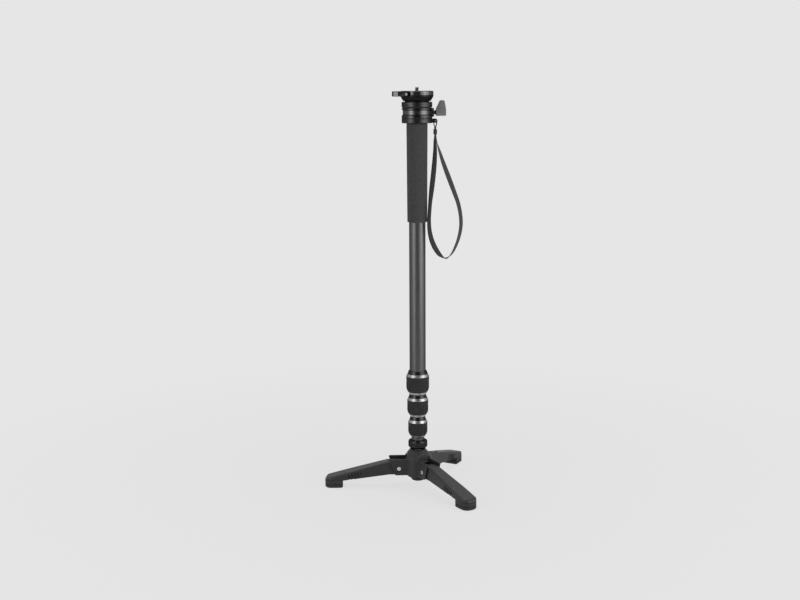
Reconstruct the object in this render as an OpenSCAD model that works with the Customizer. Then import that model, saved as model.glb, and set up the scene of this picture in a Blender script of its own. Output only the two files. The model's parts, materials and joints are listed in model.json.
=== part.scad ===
// Camera monopod with four tube sections, a panning head and a folding three-leg base.
// Millimetres, +Z up. The floor is z = 0 and the origin is the middle of the footprint.

/* [Column] */
// Outside diameter of the main tube
tube_d = 28; // [27:0.5:29]
// Wall of every tube
tube_wall = 1.1; // [0.9:0.1:1.3]
// Radial play between nested tubes
tube_play = 0.4; // [0.3:0.05:0.5]
// Length of the main tube that shows between the top lock and the grip
tube_show = 258.5; // [180:0.5:320]

/* [Twist locks] */
// Radial build of a lock over the tube it clamps from
lock_wall = 5.8; // [5.4:0.1:7]
// Height of the ribbed sleeve on the top lock
lock_sleeve_h = 27.6; // [24:0.1:32]
// How much shorter each lower sleeve is
lock_sleeve_step = 2.2; // [0:0.1:2.5]
// Thickness of the ribbed rubber sleeve
lock_sleeve_t = 3.2; // [2.8:0.1:3.4]
// Height of the bright ring above the sleeve
lock_ring_h = 4.4; // [3.5:0.1:8]
// Height of the bright tail below the sleeve
lock_tail_h = 4.3; // [3:0.1:6]
// Height of the dark collar on the lower two locks
lock_collar_h = 5.4; // [4:0.1:9]
// Height of the dark collar on the top lock
top_collar_h = 5; // [4.5:0.1:12]
// Gap between one lock and the next
lock_gap = 0.4; // [0.3:0.1:2]
// Number of grooves round a sleeve
lock_grooves = 32; // [24:2:40]

/* [Grip] */
// Length of the foam grip
grip_l = 166; // [120:1:220]
// Foam thickness at the bottom
grip_wall_bottom = 2.9; // [2:0.05:4]
// Foam thickness at the top
grip_wall_top = 3.85; // [2.5:0.05:5]

/* [Head] */
// Diameter of the strap collar and the pan base
head_d = 51.4; // [50:0.2:53]
// Height of the strap collar
collar_h = 7.6; // [6.5:0.1:10]
// Height of the pan base's lower rim
base_rim_h = 6; // [5.5:0.1:8]
// Height of the pan base's plain waist
base_waist_h = 8; // [7:0.1:10]
// Depth of the waist below the rim
base_waist_in = 1.8; // [1:0.1:3]
// Height of the pan base's upper lip
base_lip_h = 3.5; // [3:0.1:6]
// Thickness of the friction washer under the panning ring
pan_washer_h = 1.4; // [1:0.1:2]
// Height of the panning ring
pan_ring_h = 8.5; // [7:0.1:12]
// Diameter of the clamp disc and of the camera plate
plate_d = 55.4; // [54:0.2:57]
// Height of the clamp's cone
clamp_cone_h = 6.8; // [6:0.1:9]
// Height of the clamp's disc
clamp_disc_h = 2.8; // [2:0.1:4]
// Height of the camera plate
plate_h = 7; // [6.5:0.1:9]
// Diameter of the camera screw
screw_d = 6.35; // [5:0.05:7]
// Length of camera screw that stands out of the plate
screw_show = 6.2; // [4:0.1:9]
// Distance from the plate's middle to the free end of the clamp lever
lever_l = 29; // [22:0.5:32]
// Diameter of the pan knob's hub
knob_hub_d = 11.8; // [9:0.2:12.4]
// Height of the pan knob's wing above its axis
knob_wing_h = 20; // [16:0.5:24]
// Thickness of the pan knob's wing
knob_wing_t = 5; // [4:0.2:7]

/* [Strap] */
// Width of the webbing
strap_w = 10; // [8:0.5:12]
// Thickness of the webbing
strap_t = 1.2; // [1:0.1:1.4]
// Diameter of the bar that the strap hangs on
strap_bar_d = 2.4; // [2:0.1:3]

/* [Base] */
// Height of the ball's centre above the floor
ball_z = 51; // [50.5:0.1:52]
// Diameter of the tilt ball
ball_d = 26; // [25.6:0.1:26.4]
// Diameter of the stem above the ball
stem_d = 14; // [12:0.2:14.2]
// Diameter of the tilt ring
tilt_ring_d = 33.3; // [31:0.1:34]
// Height of the tilt ring
tilt_ring_h = 14.4; // [13:0.1:18]
// Diameter of the hub's body
hub_d = 49; // [47:0.2:50]
// Diameter of the rubber foot under the hub
foot_d = 24.6; // [20:0.2:28]

/* [Legs] */
// Distance from the mast to the tip of a leg
leg_reach = 163; // [150:1:190]
// Distance from the mast to a leg's hinge pin
pin_reach = 34; // [33.5:0.1:35]
// Height of the hinge pins
pin_z = 33; // [32.5:0.1:33.5]
// Diameter of a hinge pin
pin_d = 5; // [4:0.1:5.4]
// Width of a leg at its hinge
leg_w = 21.6; // [20:0.2:22.4]
// Width of a leg at its foot
leg_foot_w = 28.4; // [26:0.2:32]
// Distance from the mast to the first slot in a leg's side
slots_x = 103; // [96:0.5:106]
// Height of a leg's top at its tip
leg_tip_h = 19.7; // [19:0.1:21]
// Height of a rubber shoe
shoe_h = 13; // [11:0.2:14]
// Length of a rubber shoe
shoe_l = 31; // [26:0.5:34]
// Number of slots in each side of a leg
leg_slots = 5; // [3:1:5]

/* [Hidden] */
$fn = 64;
eps = 0.02;
slip = 0.05;
fit = 0.02;
face_gap = 0.3;
bite = 1;

// Tubes, counted from the top
function tube_r(i) = tube_d / 2 - (i - 1) * (tube_wall + tube_play);
function tube_bore_r(i) = tube_r(i) - tube_wall;

// Base heights
seat_r = ball_d / 2 + 2.42;
socket_r = seat_r + slip;
arm_r = 12.3;
arm_top_z = pin_z + 17;
arm_foot = 7.6;
arm_head = 16.9;
cheek_t = 2.75;
leg_play = 0.35;
slot_w = leg_w + 2 * leg_play;
arm_w = slot_w + 2 * cheek_t;
arm_in = socket_r + 2.5;
hub_z = pin_z - arm_r;
hub_shoulder_z = ball_z + 1;
hub_top_z = ball_z + 14.5;
hub_top_r = 13.3;
hub_mouth_r = ball_d / 2 - 1.2;
neck_h = 8.1;
neck_r = sqrt(pow(ball_d / 2 + slip, 2) - pow(neck_h, 2));
mouth_slope = (hub_mouth_r - neck_r) / (hub_top_z - ball_z - neck_h);
mouth_sunk = 3;
tongue_r = arm_r - 1.1;
slot_reach = pin_reach - tongue_r - 3.4;
notch_reach = pin_reach - 15.4;
notch_lift = 0.3;
cap_flange_h = 4.2;
cap_flange_r = socket_r + 2.5;
cap_top_z = ball_z - ball_d / 2 - 7;
foot_z = 8.4;
spring_h = 5.4;
ring_z = hub_top_z + 2.2;
ring_recess_h = 2.8;
stem_top_z = ring_z + tilt_ring_h + 0.2;
stem_thread_r = 5;
plug_flange_h = 4.1;
stem_thread_h = plug_flange_h + 15.3;
plug_z = stem_top_z + plug_flange_h;
plug_spigot_h = 27;

// Lock heights, counted from the top and stacked from the bottom
function sleeve_h(i) = lock_sleeve_h - (i - 1) * lock_sleeve_step;
function lock_collar(i) = i == 1 ? top_collar_h : lock_collar_h;
function lock_h(i) = lock_tail_h + sleeve_h(i) + lock_ring_h + lock_collar(i);
function lock_z(i) = i == 3 ? plug_z + 0.2 : lock_z(i + 1) + lock_h(i + 1) + lock_gap;
function sleeve_z(i) = lock_z(i) + lock_tail_h;
function lock_ring_z(i) = sleeve_z(i) + sleeve_h(i);
function lock_collar_z(i) = lock_ring_z(i) + lock_ring_h;
function lock_r(i) = tube_r(i) + lock_wall;
function lock_core_r(i) = lock_r(i) - lock_sleeve_t;
ferrule_t = 1.3;
lip_h = 2;
function ferrule_z(i) = sleeve_z(i) + 0.45 * sleeve_h(i);

// Grip, head and tube ends
grip_z = lock_z(1) + lock_h(1) + tube_show;
head_z = grip_z + grip_l;
spigot_l = 25;
cap_room = 2;
cap_step = 18;
guide_h = 6;
guide_spigot_h = 10;
function guide_top(i) = head_z - spigot_l - cap_room - (i - 2) * cap_step;
function tube_bottom(i) = i == 4 ? plug_z : ferrule_z(i) + lip_h;
function tube_top(i) = i == 1 ? head_z : guide_top(i) - guide_h;

head_r = head_d / 2;
flange_r = tube_d / 2 + 0.9;
base_z = head_z + face_gap + collar_h;
waist_z = base_z + base_rim_h;
lip_z = waist_z + base_waist_h;
washer_z = lip_z + base_lip_h;
pan_z = washer_z + pan_washer_h;
clamp_z = pan_z + pan_ring_h;
clamp_neck_h = 1.5;
cone_z = clamp_z + clamp_neck_h;
disc_z = cone_z + clamp_cone_h;
plate_z = disc_z + clamp_disc_h;
plate_top_z = plate_z + plate_h;
plate_r = plate_d / 2;
clamp_neck_r = plate_r - 4.45;
clamp_groove = 2.5;
boss_r = 9.95;
boss_h = 4;
spindle_r = 9;
spindle_flange_r = 13;
spindle_flange_h = 3;
clip_room_h = 4;
clip_room_r = 11.5;
clip_t = 1.2;
well_r = 20;
well_h = 4;
bolt_r = 3;
bolt_head_r = 6;
bolt_head_h = 4;
pad_inner_r = 9.5;
pad_outer_r = plate_r - 2.7;
pad_sunk = 1;
pad_proud = 0.2;
screw_r = screw_d / 2;
screw_head_r = 7.8;
screw_head_h = 4.4;
screw_well_h = plate_h - pad_sunk - 3.4;

// Clamp lever, on a radial screw in an ear of the clamp
lever_angle = 234;
ear_w = 10;
ear_h = 5.1;
ear_in = 3.7;
lever_z = plate_z + 1.6;
lever_t = 4;
lever_h = 8;
lever_gap = 0.4;
lever_r = plate_r + lever_gap;
lever_screw_r = 1.5;
lever_head_r = 1.9;
lever_head_h = 1.2;

// Pan brake, on a radial screw in the waist
knob_z = waist_z + base_waist_h / 2;
brake_r = 2.7;
brake_l = 3.8;
knob_boss_r = base_waist_h / 2 + base_lip_h - 0.1;
knob_boss_out = 2.5;
knob_boss_x = head_r + knob_boss_out;
knob_x = knob_boss_x + 3.4;
knob_l = 17;
knob_collar_r = 4.2;

// Strap lug on the collar
lug_x = head_r + 4.9;
lug_gap = strap_w + 0.8;
lug_t = 2.5;
lug_r = 3.4;
bar_z = head_z + face_gap + collar_h / 2;
bar_r = strap_bar_d / 2;
tab_in_r = bar_r + 0.1;
tab_out_r = tab_in_r + strap_t;
tab_bend = 5.5;
crimp_top = 14;
crimp_h = 9;
crimp_t = 0.3;

// Middle line of the wrist strap: x and z from the strap bar, y from the mast, and the
// heading of the webbing's width in degrees from +X
STRAP = [
    [-0.75, 0, -23, 82], [-0.6, 0, -33, 84], [0, -1, -45, 100], [-0.4, -2, -58, 122],
    [-1.6, -4, -73, 137], [-3.6, -6, -93, 143], [-6, -7, -113, 140], [-8.4, -8, -133, 126],
    [-10, -9, -151, 121], [-10.4, -9, -167, 122], [-9.2, -8, -183, 130], [-5.4, -7, -199, 143],
    [0.8, -5, -213.5, 153], [8.4, -2, -225.5, 146], [14.2, 0, -231, 124], [19, 1, -233, 100],
    [24, 1, -231, 91], [29.6, 1, -224.5, 86], [34.8, 1, -214, 79], [39.2, 0, -201, 73],
    [42.6, 0, -187, 71], [44, 0, -173, 67], [42.8, 0, -157, 62], [39, 0, -139, 55],
    [33.4, 0, -123, 47], [26.6, 0, -105, 36], [19.4, 0, -86, 37], [12.8, 0, -68, 48],
    [7, 0, -50, 64], [2.6, 0, -36, 80], [0.75, 0, -23, 82]
];

// Legs, in a frame with x out from the mast and z up
shoulder_x = pin_reach + 9;
shoulder_z = pin_z - 11.4;
crest_x = pin_reach + 18.3;
crest_z = pin_z + 12;
tip_r = 9;
corner_r = 12;
edge_r = 4.5;
heel_x = leg_reach - shoe_l;
tip_x = leg_reach - tip_r;
leg_slope = atan((crest_z - leg_tip_h) / (tip_x - crest_x));
tip_z = leg_tip_h - tip_r / cos(leg_slope);
tip_steps = 7;
flare = (leg_foot_w - leg_w) / 2;
flare_angle = atan(flare * cos(leg_slope) / (heel_x - crest_x));
edge_out = 0.15;
edge_lift = 0.3;
leg_thick = 60;
pocket_w = 13;
pocket_roof = 4;
pocket_x = crest_x + 8;
pocket_end = heel_x - 8;
slot_pitch = 5;
slot_t = 2.2;
slot_deep = 3;
slot_h = 10;
slot_drop = 4.5;
stud_r = 5;
stud_h = 6;
stud_x = leg_reach - 0.55 * shoe_l;
shoe_heel_r = 3;
shoe_foot_in = 1.4;
shoe_line_h = 1.2;
shoe_line_z = 5;

LEG_ANGLES = [180, 300, 60];
side_reach = (leg_reach - corner_r) * cos(60) + (leg_foot_w / 2 - corner_r) * sin(60) + corner_r;
mast_x = (leg_reach - side_reach) / 2;

// Shared shapes

// Stands children on the mast's axis
module at_mast() translate([mast_x, 0, 0]) children();

// Turns children to the leg or lever that lies at an angle round the mast
module at_angle(a) at_mast() rotate([0, 0, a]) children();

// A plain ring between two heights
module ring(r_out, r_in, z0, z1) {
    difference() {
        translate([0, 0, z0]) cylinder(r = r_out, h = z1 - z0);
        translate([0, 0, z0 - bite]) cylinder(r = r_in, h = z1 - z0 + 2 * bite);
    }
}

// A cylinder along the local +X axis
module rod_x(r, x0, x1, z) translate([x0, 0, z]) rotate([0, 90, 0]) cylinder(r = r, h = x1 - x0);

// A cylinder along the local Y axis, centred on it
module rod_y(r, l, x, z) translate([x, l / 2, z]) rotate([90, 0, 0]) cylinder(r = r, h = l);

// Column

module tube(i) {
    color("#3c3c3e") at_mast() ring(tube_r(i), tube_bore_r(i), tube_bottom(i), tube_top(i));
}

// Cap that guides the top of an inner tube inside the next tube out
module guide_cap(i) {
    z = tube_top(i);
    color("#202020") at_mast() {
        difference() {
            union() {
                translate([0, 0, z]) cylinder(r = tube_bore_r(i - 1) - 2 * slip, h = guide_h);
                translate([0, 0, z - guide_spigot_h])
                    cylinder(r = tube_bore_r(i) - fit, h = guide_spigot_h + bite);
            }
            translate([0, 0, z - guide_spigot_h - bite])
                cylinder(r = tube_bore_r(i) - 3, h = guide_h + guide_spigot_h + 2 * bite);
        }
    }
}

// Threaded end piece on a tube, with the dark collar that shows above the lock
module ferrule(i) {
    z = lock_collar_z(i);
    color("#262626") at_mast() difference() {
        union() {
            translate([0, 0, ferrule_z(i)])
                cylinder(r = tube_r(i) + ferrule_t, h = z - ferrule_z(i) + bite);
            translate([0, 0, z])
                cylinder(r1 = tube_r(i) + 3.4, r2 = tube_r(i) + 1.8, h = lock_collar(i));
        }
        translate([0, 0, tube_bottom(i)]) cylinder(r = tube_r(i) + fit, h = lock_h(i));
        translate([0, 0, ferrule_z(i) - bite])
            cylinder(r = tube_r(i + 1) + tube_play / 2, h = lip_h + 2 * bite);
    }
}

// Split collet that grips the inner tube
module collet(i) {
    z0 = sleeve_z(i) + 0.8;
    z1 = ferrule_z(i) - 0.2;
    r = tube_r(i + 1);
    color("#e0e0dc") at_mast() difference() {
        translate([0, 0, z0]) cylinder(r1 = r + 2.4, r2 = r + 1.8, h = z1 - z0);
        translate([0, 0, z0 - bite]) cylinder(r = r + 2 * slip, h = z1 - z0 + 2 * bite);
        translate([0, -0.75, z0 - bite]) cube([r + 4, 1.5, z1 - z0 + 2 * bite]);
    }
}

// Bright metal ring that the user turns, bored for the ferrule and the collet
module twist_ring(i) {
    top = lock_collar_z(i) - 0.15;
    inner = tube_r(i + 1);
    color("#b8b8b8") at_mast() rotate_extrude() polygon([
        [tube_r(i) + ferrule_t + 2 * slip, ferrule_z(i) - 0.1],
        [tube_r(i) + ferrule_t + 2 * slip, top],
        [tube_r(i) + 3.7, top],
        [lock_r(i) - 0.15, lock_ring_z(i)],
        [lock_core_r(i), lock_ring_z(i)],
        [lock_core_r(i), sleeve_z(i)],
        [lock_core_r(i) + 0.3, sleeve_z(i)],
        [tube_r(i) + 0.3, lock_z(i)],
        [inner + tube_play, lock_z(i)],
        [inner + tube_play, sleeve_z(i) + 0.6],
        [inner + 2.6, sleeve_z(i) + 0.6],
        [inner + 2.6, ferrule_z(i) - 0.1]
    ]);
}

// Ribbed rubber sleeve pressed over the twist ring
module lock_sleeve(i) {
    r = lock_r(i);
    z = sleeve_z(i);
    h = sleeve_h(i);
    foot = 0.28 * h;
    groove_d = 1.7;
    color("#1c1c1c") at_mast() difference() {
        rotate_extrude() polygon([
            [lock_core_r(i) + fit, z],
            [lock_core_r(i) + 0.6, z],
            [r - 1.1, z + foot * 0.5],
            [r, z + foot],
            [r, z + h - 0.6],
            [r - 0.6, z + h],
            [lock_core_r(i) + fit, z + h]
        ]);
        for (k = [0 : lock_grooves - 1])
            rotate([0, 0, (k + 0.5) * 360 / lock_grooves])
                translate([r + 0.1, 0, z + 1.5])
                    cylinder(r = groove_d / 2, h = 0.66 * h, $fn = 4);
        for (k = [0 : 2])
            ring(r + bite, r - 0.4, z + h * (0.74 + 0.08 * k), z + h * (0.74 + 0.08 * k) + 0.6);
    }
}

// Foam grip over the top of the main tube
module grip() {
    r0 = tube_d / 2 + grip_wall_bottom;
    r1 = tube_d / 2 + grip_wall_top;
    soft = 1.2;
    color("#404040") at_mast() rotate_extrude() polygon([
        [tube_d / 2 + fit, grip_z],
        [r0 - soft, grip_z],
        [r0 - 0.3 * soft, grip_z + 0.3 * soft],
        [r0, grip_z + soft],
        [r1, head_z - soft],
        [r1 - 0.3 * soft, head_z - 0.3 * soft],
        [r1 - soft, head_z],
        [tube_d / 2 + fit, head_z]
    ]);
}

// Head

// Plug in the main tube that carries the head
module head_spigot() {
    color("#2a2a2a") at_mast() {
        translate([0, 0, head_z - spigot_l]) cylinder(r = tube_bore_r(1) - fit, h = spigot_l + bite);
        translate([0, 0, head_z]) cylinder(r = flange_r, h = base_z - head_z);
        translate([0, 0, base_z - bite]) cylinder(r = boss_r, h = boss_h + bite);
    }
}

// Collar under the pan base, with two ears for the strap bar
module strap_collar() {
    z = head_z + face_gap;
    color("#2c2c2c") at_mast() difference() {
        union() {
            rotate_extrude() polygon([
                [flange_r + 2 * slip, z],
                [head_r - 0.8, z],
                [head_r, z + 0.8],
                [head_r, base_z - 0.6],
                [head_r - 0.6, base_z],
                [flange_r + 2 * slip, base_z]
            ]);
            for (s = [-1, 1]) translate([0, s * (lug_gap + lug_t) / 2, 0]) {
                translate([head_r - 6, -lug_t / 2, bar_z - lug_r])
                    cube([lug_x - head_r + 6, lug_t, 2 * lug_r]);
                rod_y(lug_r, lug_t, lug_x, bar_z);
            }
        }
        rod_y(bar_r + fit, lug_gap + 2 * lug_t + 2 * bite, lug_x, bar_z);
    }
}

module strap_bar() {
    color("#303030") at_mast() rod_y(bar_r, lug_gap + 2 * lug_t, lug_x, bar_z);
}

// Doubled webbing that goes round the bar and down into the crimp
module strap_tab() {
    drop = crimp_top;
    pinch = strap_t + 0.2;
    color("#161616") at_mast() translate([lug_x, strap_w / 2, bar_z]) rotate([90, 0, 0])
        linear_extrude(strap_w) difference() {
            union() {
                circle(r = tab_out_r);
                polygon([
                    [-tab_out_r, 0], [-pinch, -tab_bend], [-pinch, -drop],
                    [pinch, -drop], [pinch, -tab_bend], [tab_out_r, 0]
                ]);
            }
            circle(r = tab_in_r);
            polygon([[-tab_in_r, 0], [-0.15, -tab_bend], [0.15, -tab_bend], [tab_in_r, 0]]);
        }
}

// Sewn keeper where the strap's two ends join the tab
module strap_crimp() {
    w = strap_t + 0.45 + crimp_t;
    color("#101010") at_mast() translate([lug_x, 0, bar_z - crimp_top - crimp_h])
        translate([-w, -strap_w / 2 - crimp_t, 0]) cube([2 * w, strap_w + 2 * crimp_t, crimp_h]);
}

function cross_of(a, b) = [
    a[1] * b[2] - a[2] * b[1],
    a[2] * b[0] - a[0] * b[2],
    a[0] * b[1] - a[1] * b[0]
];
function unit(v) = v / norm(v);
function strap_at(k) = [lug_x + STRAP[k][0], STRAP[k][1], bar_z + STRAP[k][2]];
function strap_way(k) =
    k == 0 ? [0, 0, -1] :
    k == len(STRAP) - 1 ? [0, 0, 1] :
    unit(strap_at(k + 1) - strap_at(k - 1));
function strap_flat(k) =
    let (a = STRAP[k][3], h = [cos(a), sin(a), 0], t = strap_way(k))
    unit(h - t * (h * t));

// Loop of flat webbing, swept along its middle line as one closed skin
module wrist_strap() {
    w = strap_w / 2;
    t = strap_t / 2;
    c = 0.3;
    section = [
        [w, t - c], [w - c, t], [c - w, t], [-w, t - c],
        [-w, c - t], [c - w, -t], [w - c, -t], [w, c - t]
    ];
    sides = len(section);
    last = len(STRAP) - 1;
    points = [
        for (k = [0 : last])
            let (u = strap_flat(k), v = cross_of(strap_way(k), u))
            for (p = section) strap_at(k) + u * p[0] + v * p[1]
    ];
    walls = [
        for (k = [0 : last - 1], j = [0 : sides - 1])
            let (a = k * sides + j, b = k * sides + (j + 1) % sides)
            each [[a, a + sides, b], [b, a + sides, b + sides]]
    ];
    caps = [
        for (j = [1 : sides - 2])
            each [[0, j, j + 1], [last * sides, last * sides + j + 1, last * sides + j]]
    ];
    color("#1a1a1a") at_mast() polyhedron(points, concat(walls, caps), convexity = 6);
}

// Fixed lower half of the panning joint
module pan_base() {
    waist_r = head_r - base_waist_in;
    color("#303030") at_mast() difference() {
        union() {
            rotate_extrude() polygon([
                [0, base_z],
                [head_r - 0.4, base_z],
                [head_r, base_z + 0.8],
                [head_r, waist_z - 0.6],
                [waist_r, waist_z],
                [waist_r, lip_z],
                [head_r - 0.15, lip_z + 0.5],
                [head_r - 0.15, washer_z - 0.5],
                [head_r - 0.6, washer_z],
                [0, washer_z]
            ]);
            rod_x(knob_boss_r, head_r - 6, knob_boss_x, knob_z);
        }
        translate([0, 0, base_z - bite]) cylinder(r = boss_r + slip, h = boss_h + bite);
        translate([0, 0, base_z + boss_h - eps]) cylinder(r = clip_room_r, h = clip_room_h);
        translate([0, 0, base_z]) cylinder(r = spindle_r + slip, h = washer_z - base_z + bite);
        rod_x(brake_r + slip, 0, knob_boss_x + bite, knob_z);
        ring(2 * head_r, knob_boss_x + 4, base_z - bite, washer_z);
    }
}

module pan_washer() {
    color("#111111") at_mast() ring(head_r - 1.2, spindle_r + face_gap, washer_z, pan_z);
}

// Pad that the knob's screw pushes against the spindle
module brake_pad() {
    color("#d8d2c0") at_mast() difference() {
        rod_x(brake_r, spindle_r - 2, spindle_r + 0.2 + brake_l, knob_z);
        translate([0, 0, knob_z - 2 * brake_r]) cylinder(r = spindle_r + 0.2, h = 4 * brake_r);
    }
}

module knob_screw() {
    color("#8c8c8c") at_mast()
        rod_x(brake_r, spindle_r + 0.4 + brake_l, knob_x + knob_l - 4, knob_z);
}

// Wing knob that tightens the pan brake
module pan_knob() {
    r = knob_hub_d / 2;
    x1 = knob_x + knob_l;
    color("#6a6a6a") at_mast() difference() {
        union() {
            rod_x(r, knob_x, x1, knob_z);
            rod_x(knob_collar_r, knob_boss_x + 0.8, knob_x + bite, knob_z);
            translate([0, knob_wing_t / 2, knob_z]) rotate([90, 0, 0]) linear_extrude(knob_wing_t)
                polygon([
                    [knob_x, -r + 0.2], [x1, -r + 0.2], [x1, 0.25 * knob_wing_h],
                    [x1 - 0.7, 0.55 * knob_wing_h], [x1 - 2.1, 0.88 * knob_wing_h],
                    [x1 - 3, knob_wing_h], [x1 - 10.2, knob_wing_h],
                    [x1 - 10.9, 0.94 * knob_wing_h], [knob_x + 0.3, 0.32 * knob_wing_h]
                ]);
        }
        rod_x(brake_r + fit, 0, x1 - 4, knob_z);
    }
}

// Turning ring of the panning joint
module pan_ring() {
    color("#2e2e2e") at_mast() difference() {
        rotate_extrude() polygon([
            [spindle_r + fit, pan_z],
            [head_r - 0.5, pan_z],
            [head_r, pan_z + 0.6],
            [head_r, clamp_z - 0.8],
            [head_r - 0.8, clamp_z],
            [spindle_r + fit, clamp_z]
        ]);
        translate([0, 0, clamp_z - spindle_flange_h])
            cylinder(r = spindle_flange_r + fit, h = spindle_flange_h + bite);
    }
}

// Spindle that carries the clamp and turns in the pan base
module pan_spindle() {
    foot = base_z + boss_h + 0.6;
    groove_z = foot + 1.2;
    color("#9a9a9a") at_mast() difference() {
        union() {
            translate([0, 0, foot]) cylinder(r = spindle_r, h = clamp_z - foot);
            translate([0, 0, clamp_z - spindle_flange_h])
                cylinder(r = spindle_flange_r, h = spindle_flange_h);
        }
        ring(spindle_r + bite, spindle_r - 1, groove_z, groove_z + clip_t + 2 * slip);
        translate([0, 0, foot + 4]) cylinder(r = bolt_r + fit, h = clamp_z - foot);
    }
}

// Spring clip in the spindle's groove
module retaining_ring() {
    z = base_z + boss_h + 1.8 + slip;
    color("#777777") at_mast() difference() {
        ring(spindle_r + 1.6, spindle_r - 1 + slip, z, z + clip_t);
        translate([0, -2, z - bite]) cube([clip_room_r, 4, clip_t + 2 * bite]);
    }
}

// Quick-release clamp: cone, disc, well for the plate and ear for the lever
module clamp_body() {
    color("#242424") at_mast() difference() {
        union() {
            rotate_extrude() polygon([
                [0, clamp_z],
                [clamp_neck_r - clamp_groove, clamp_z],
                [clamp_neck_r - clamp_groove, cone_z],
                [clamp_neck_r, cone_z],
                [plate_r - 0.5, disc_z],
                [plate_r, disc_z + 0.5],
                [plate_r, plate_z],
                [0, plate_z]
            ]);
            rotate([0, 0, lever_angle]) translate([plate_r - ear_in, -ear_w / 2, plate_z - bite])
                cube([ear_in - 0.1, ear_w, ear_h + bite]);
        }
        translate([0, 0, plate_z - well_h]) cylinder(r = well_r, h = well_h + 2 * ear_h);
        translate([0, 0, plate_z - well_h - bolt_head_h - 0.4])
            cylinder(r = bolt_head_r + 0.2, h = well_h + bolt_head_h);
        translate([0, 0, clamp_z - bite]) cylinder(r = bolt_r + slip, h = plate_z - clamp_z);
        rotate([0, 0, lever_angle])
            rod_x(lever_screw_r + slip, plate_r - 12, plate_r + bite, lever_z);
    }
}

// Screw that holds the clamp down on the spindle
module clamp_bolt() {
    z = plate_z - well_h - bolt_head_h - 0.4;
    tip = base_z + boss_h + 8;
    color("#8c8c8c") at_mast() difference() {
        union() {
            translate([0, 0, z]) cylinder(r = bolt_head_r, h = bolt_head_h);
            translate([0, 0, tip]) cylinder(r = bolt_r, h = z - tip + bite);
        }
        translate([0, 0, z + 1.5]) cylinder(r = 2.9, h = bolt_head_h, $fn = 6);
    }
}

// Lever that swings down to free the plate
module clamp_lever() {
    tail = 4.5;
    tab_l = 7.5;
    tab_h = lever_h - 1.2;
    tab_end = 2.5;
    color("#2a2a2a") at_angle(lever_angle) difference() {
        union() {
            translate([lever_r, -lever_l, lever_z - lever_h / 2]) cube([lever_t, lever_l + tail, lever_h]);
            translate([lever_r, tab_end - lever_l, lever_z - tab_h / 2]) cube([lever_t + 0.8, tab_l, tab_h]);
        }
        rod_x(lever_screw_r + fit, lever_r - bite, lever_r + lever_t + bite, lever_z);
    }
}

module lever_screw() {
    x = lever_r + lever_t;
    color("#d0d0d0") at_angle(lever_angle) difference() {
        union() {
            rod_x(lever_screw_r, plate_r - ear_in + 0.3, x + eps, lever_z);
            rod_x(lever_head_r, x, x + lever_head_h, lever_z);
        }
        translate([x + 0.5, 0, lever_z]) rotate([0, 90, 0]) cylinder(r = 1, h = 2, $fn = 6);
    }
}

// Plate that the camera sits on
module camera_plate() {
    color("#1e1e1e") at_mast() difference() {
        union() {
            rotate_extrude() polygon([
                [0, plate_z],
                [plate_r - 0.3, plate_z],
                [plate_r, plate_z + 0.3],
                [plate_r, plate_top_z - 0.8],
                [plate_r - 0.8, plate_top_z],
                [0, plate_top_z]
            ]);
            translate([0, 0, plate_z - well_h + 0.2]) cylinder(r = well_r - 0.2, h = well_h);
        }
        ring(pad_outer_r + fit, pad_inner_r - fit, plate_top_z - pad_sunk, plate_top_z + bite);
        translate([0, 0, plate_z - 2 * well_h])
            cylinder(r = screw_head_r + 0.4, h = screw_well_h + 2 * well_h);
        cylinder(r = screw_r + 0.12, h = plate_top_z + bite);
        rotate([0, 0, lever_angle])
            translate([plate_r - ear_in - 0.3, -ear_w / 2 - face_gap, plate_z - bite])
                cube([ear_in + bite, ear_w + 2 * face_gap, ear_h + bite + face_gap]);
    }
}

module plate_pad() {
    color("#151515") at_mast()
        ring(pad_outer_r, pad_inner_r, plate_top_z - pad_sunk, plate_top_z + pad_proud);
}

// Captive screw that goes into the camera
module camera_screw() {
    root = plate_top_z + pad_proud;
    top = root + screw_show;
    z = plate_z + screw_well_h - 0.1;
    color("#9c9c9c") at_mast() difference() {
        union() {
            translate([0, 0, z - screw_head_h]) cylinder(r = screw_head_r, h = screw_head_h);
            translate([0, 0, z - bite]) cylinder(r = screw_r - 0.4, h = root - z + 2 * bite);
            translate([0, 0, root]) cylinder(r = screw_r, h = screw_show - 0.6);
            translate([0, 0, top - 0.6]) cylinder(r1 = screw_r, r2 = screw_r - 0.6, h = 0.6);
        }
        translate([-1, -screw_head_r, z - screw_head_h - bite])
            cube([2, 2 * screw_head_r, 1.6 + bite]);
    }
}

// Base

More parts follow.
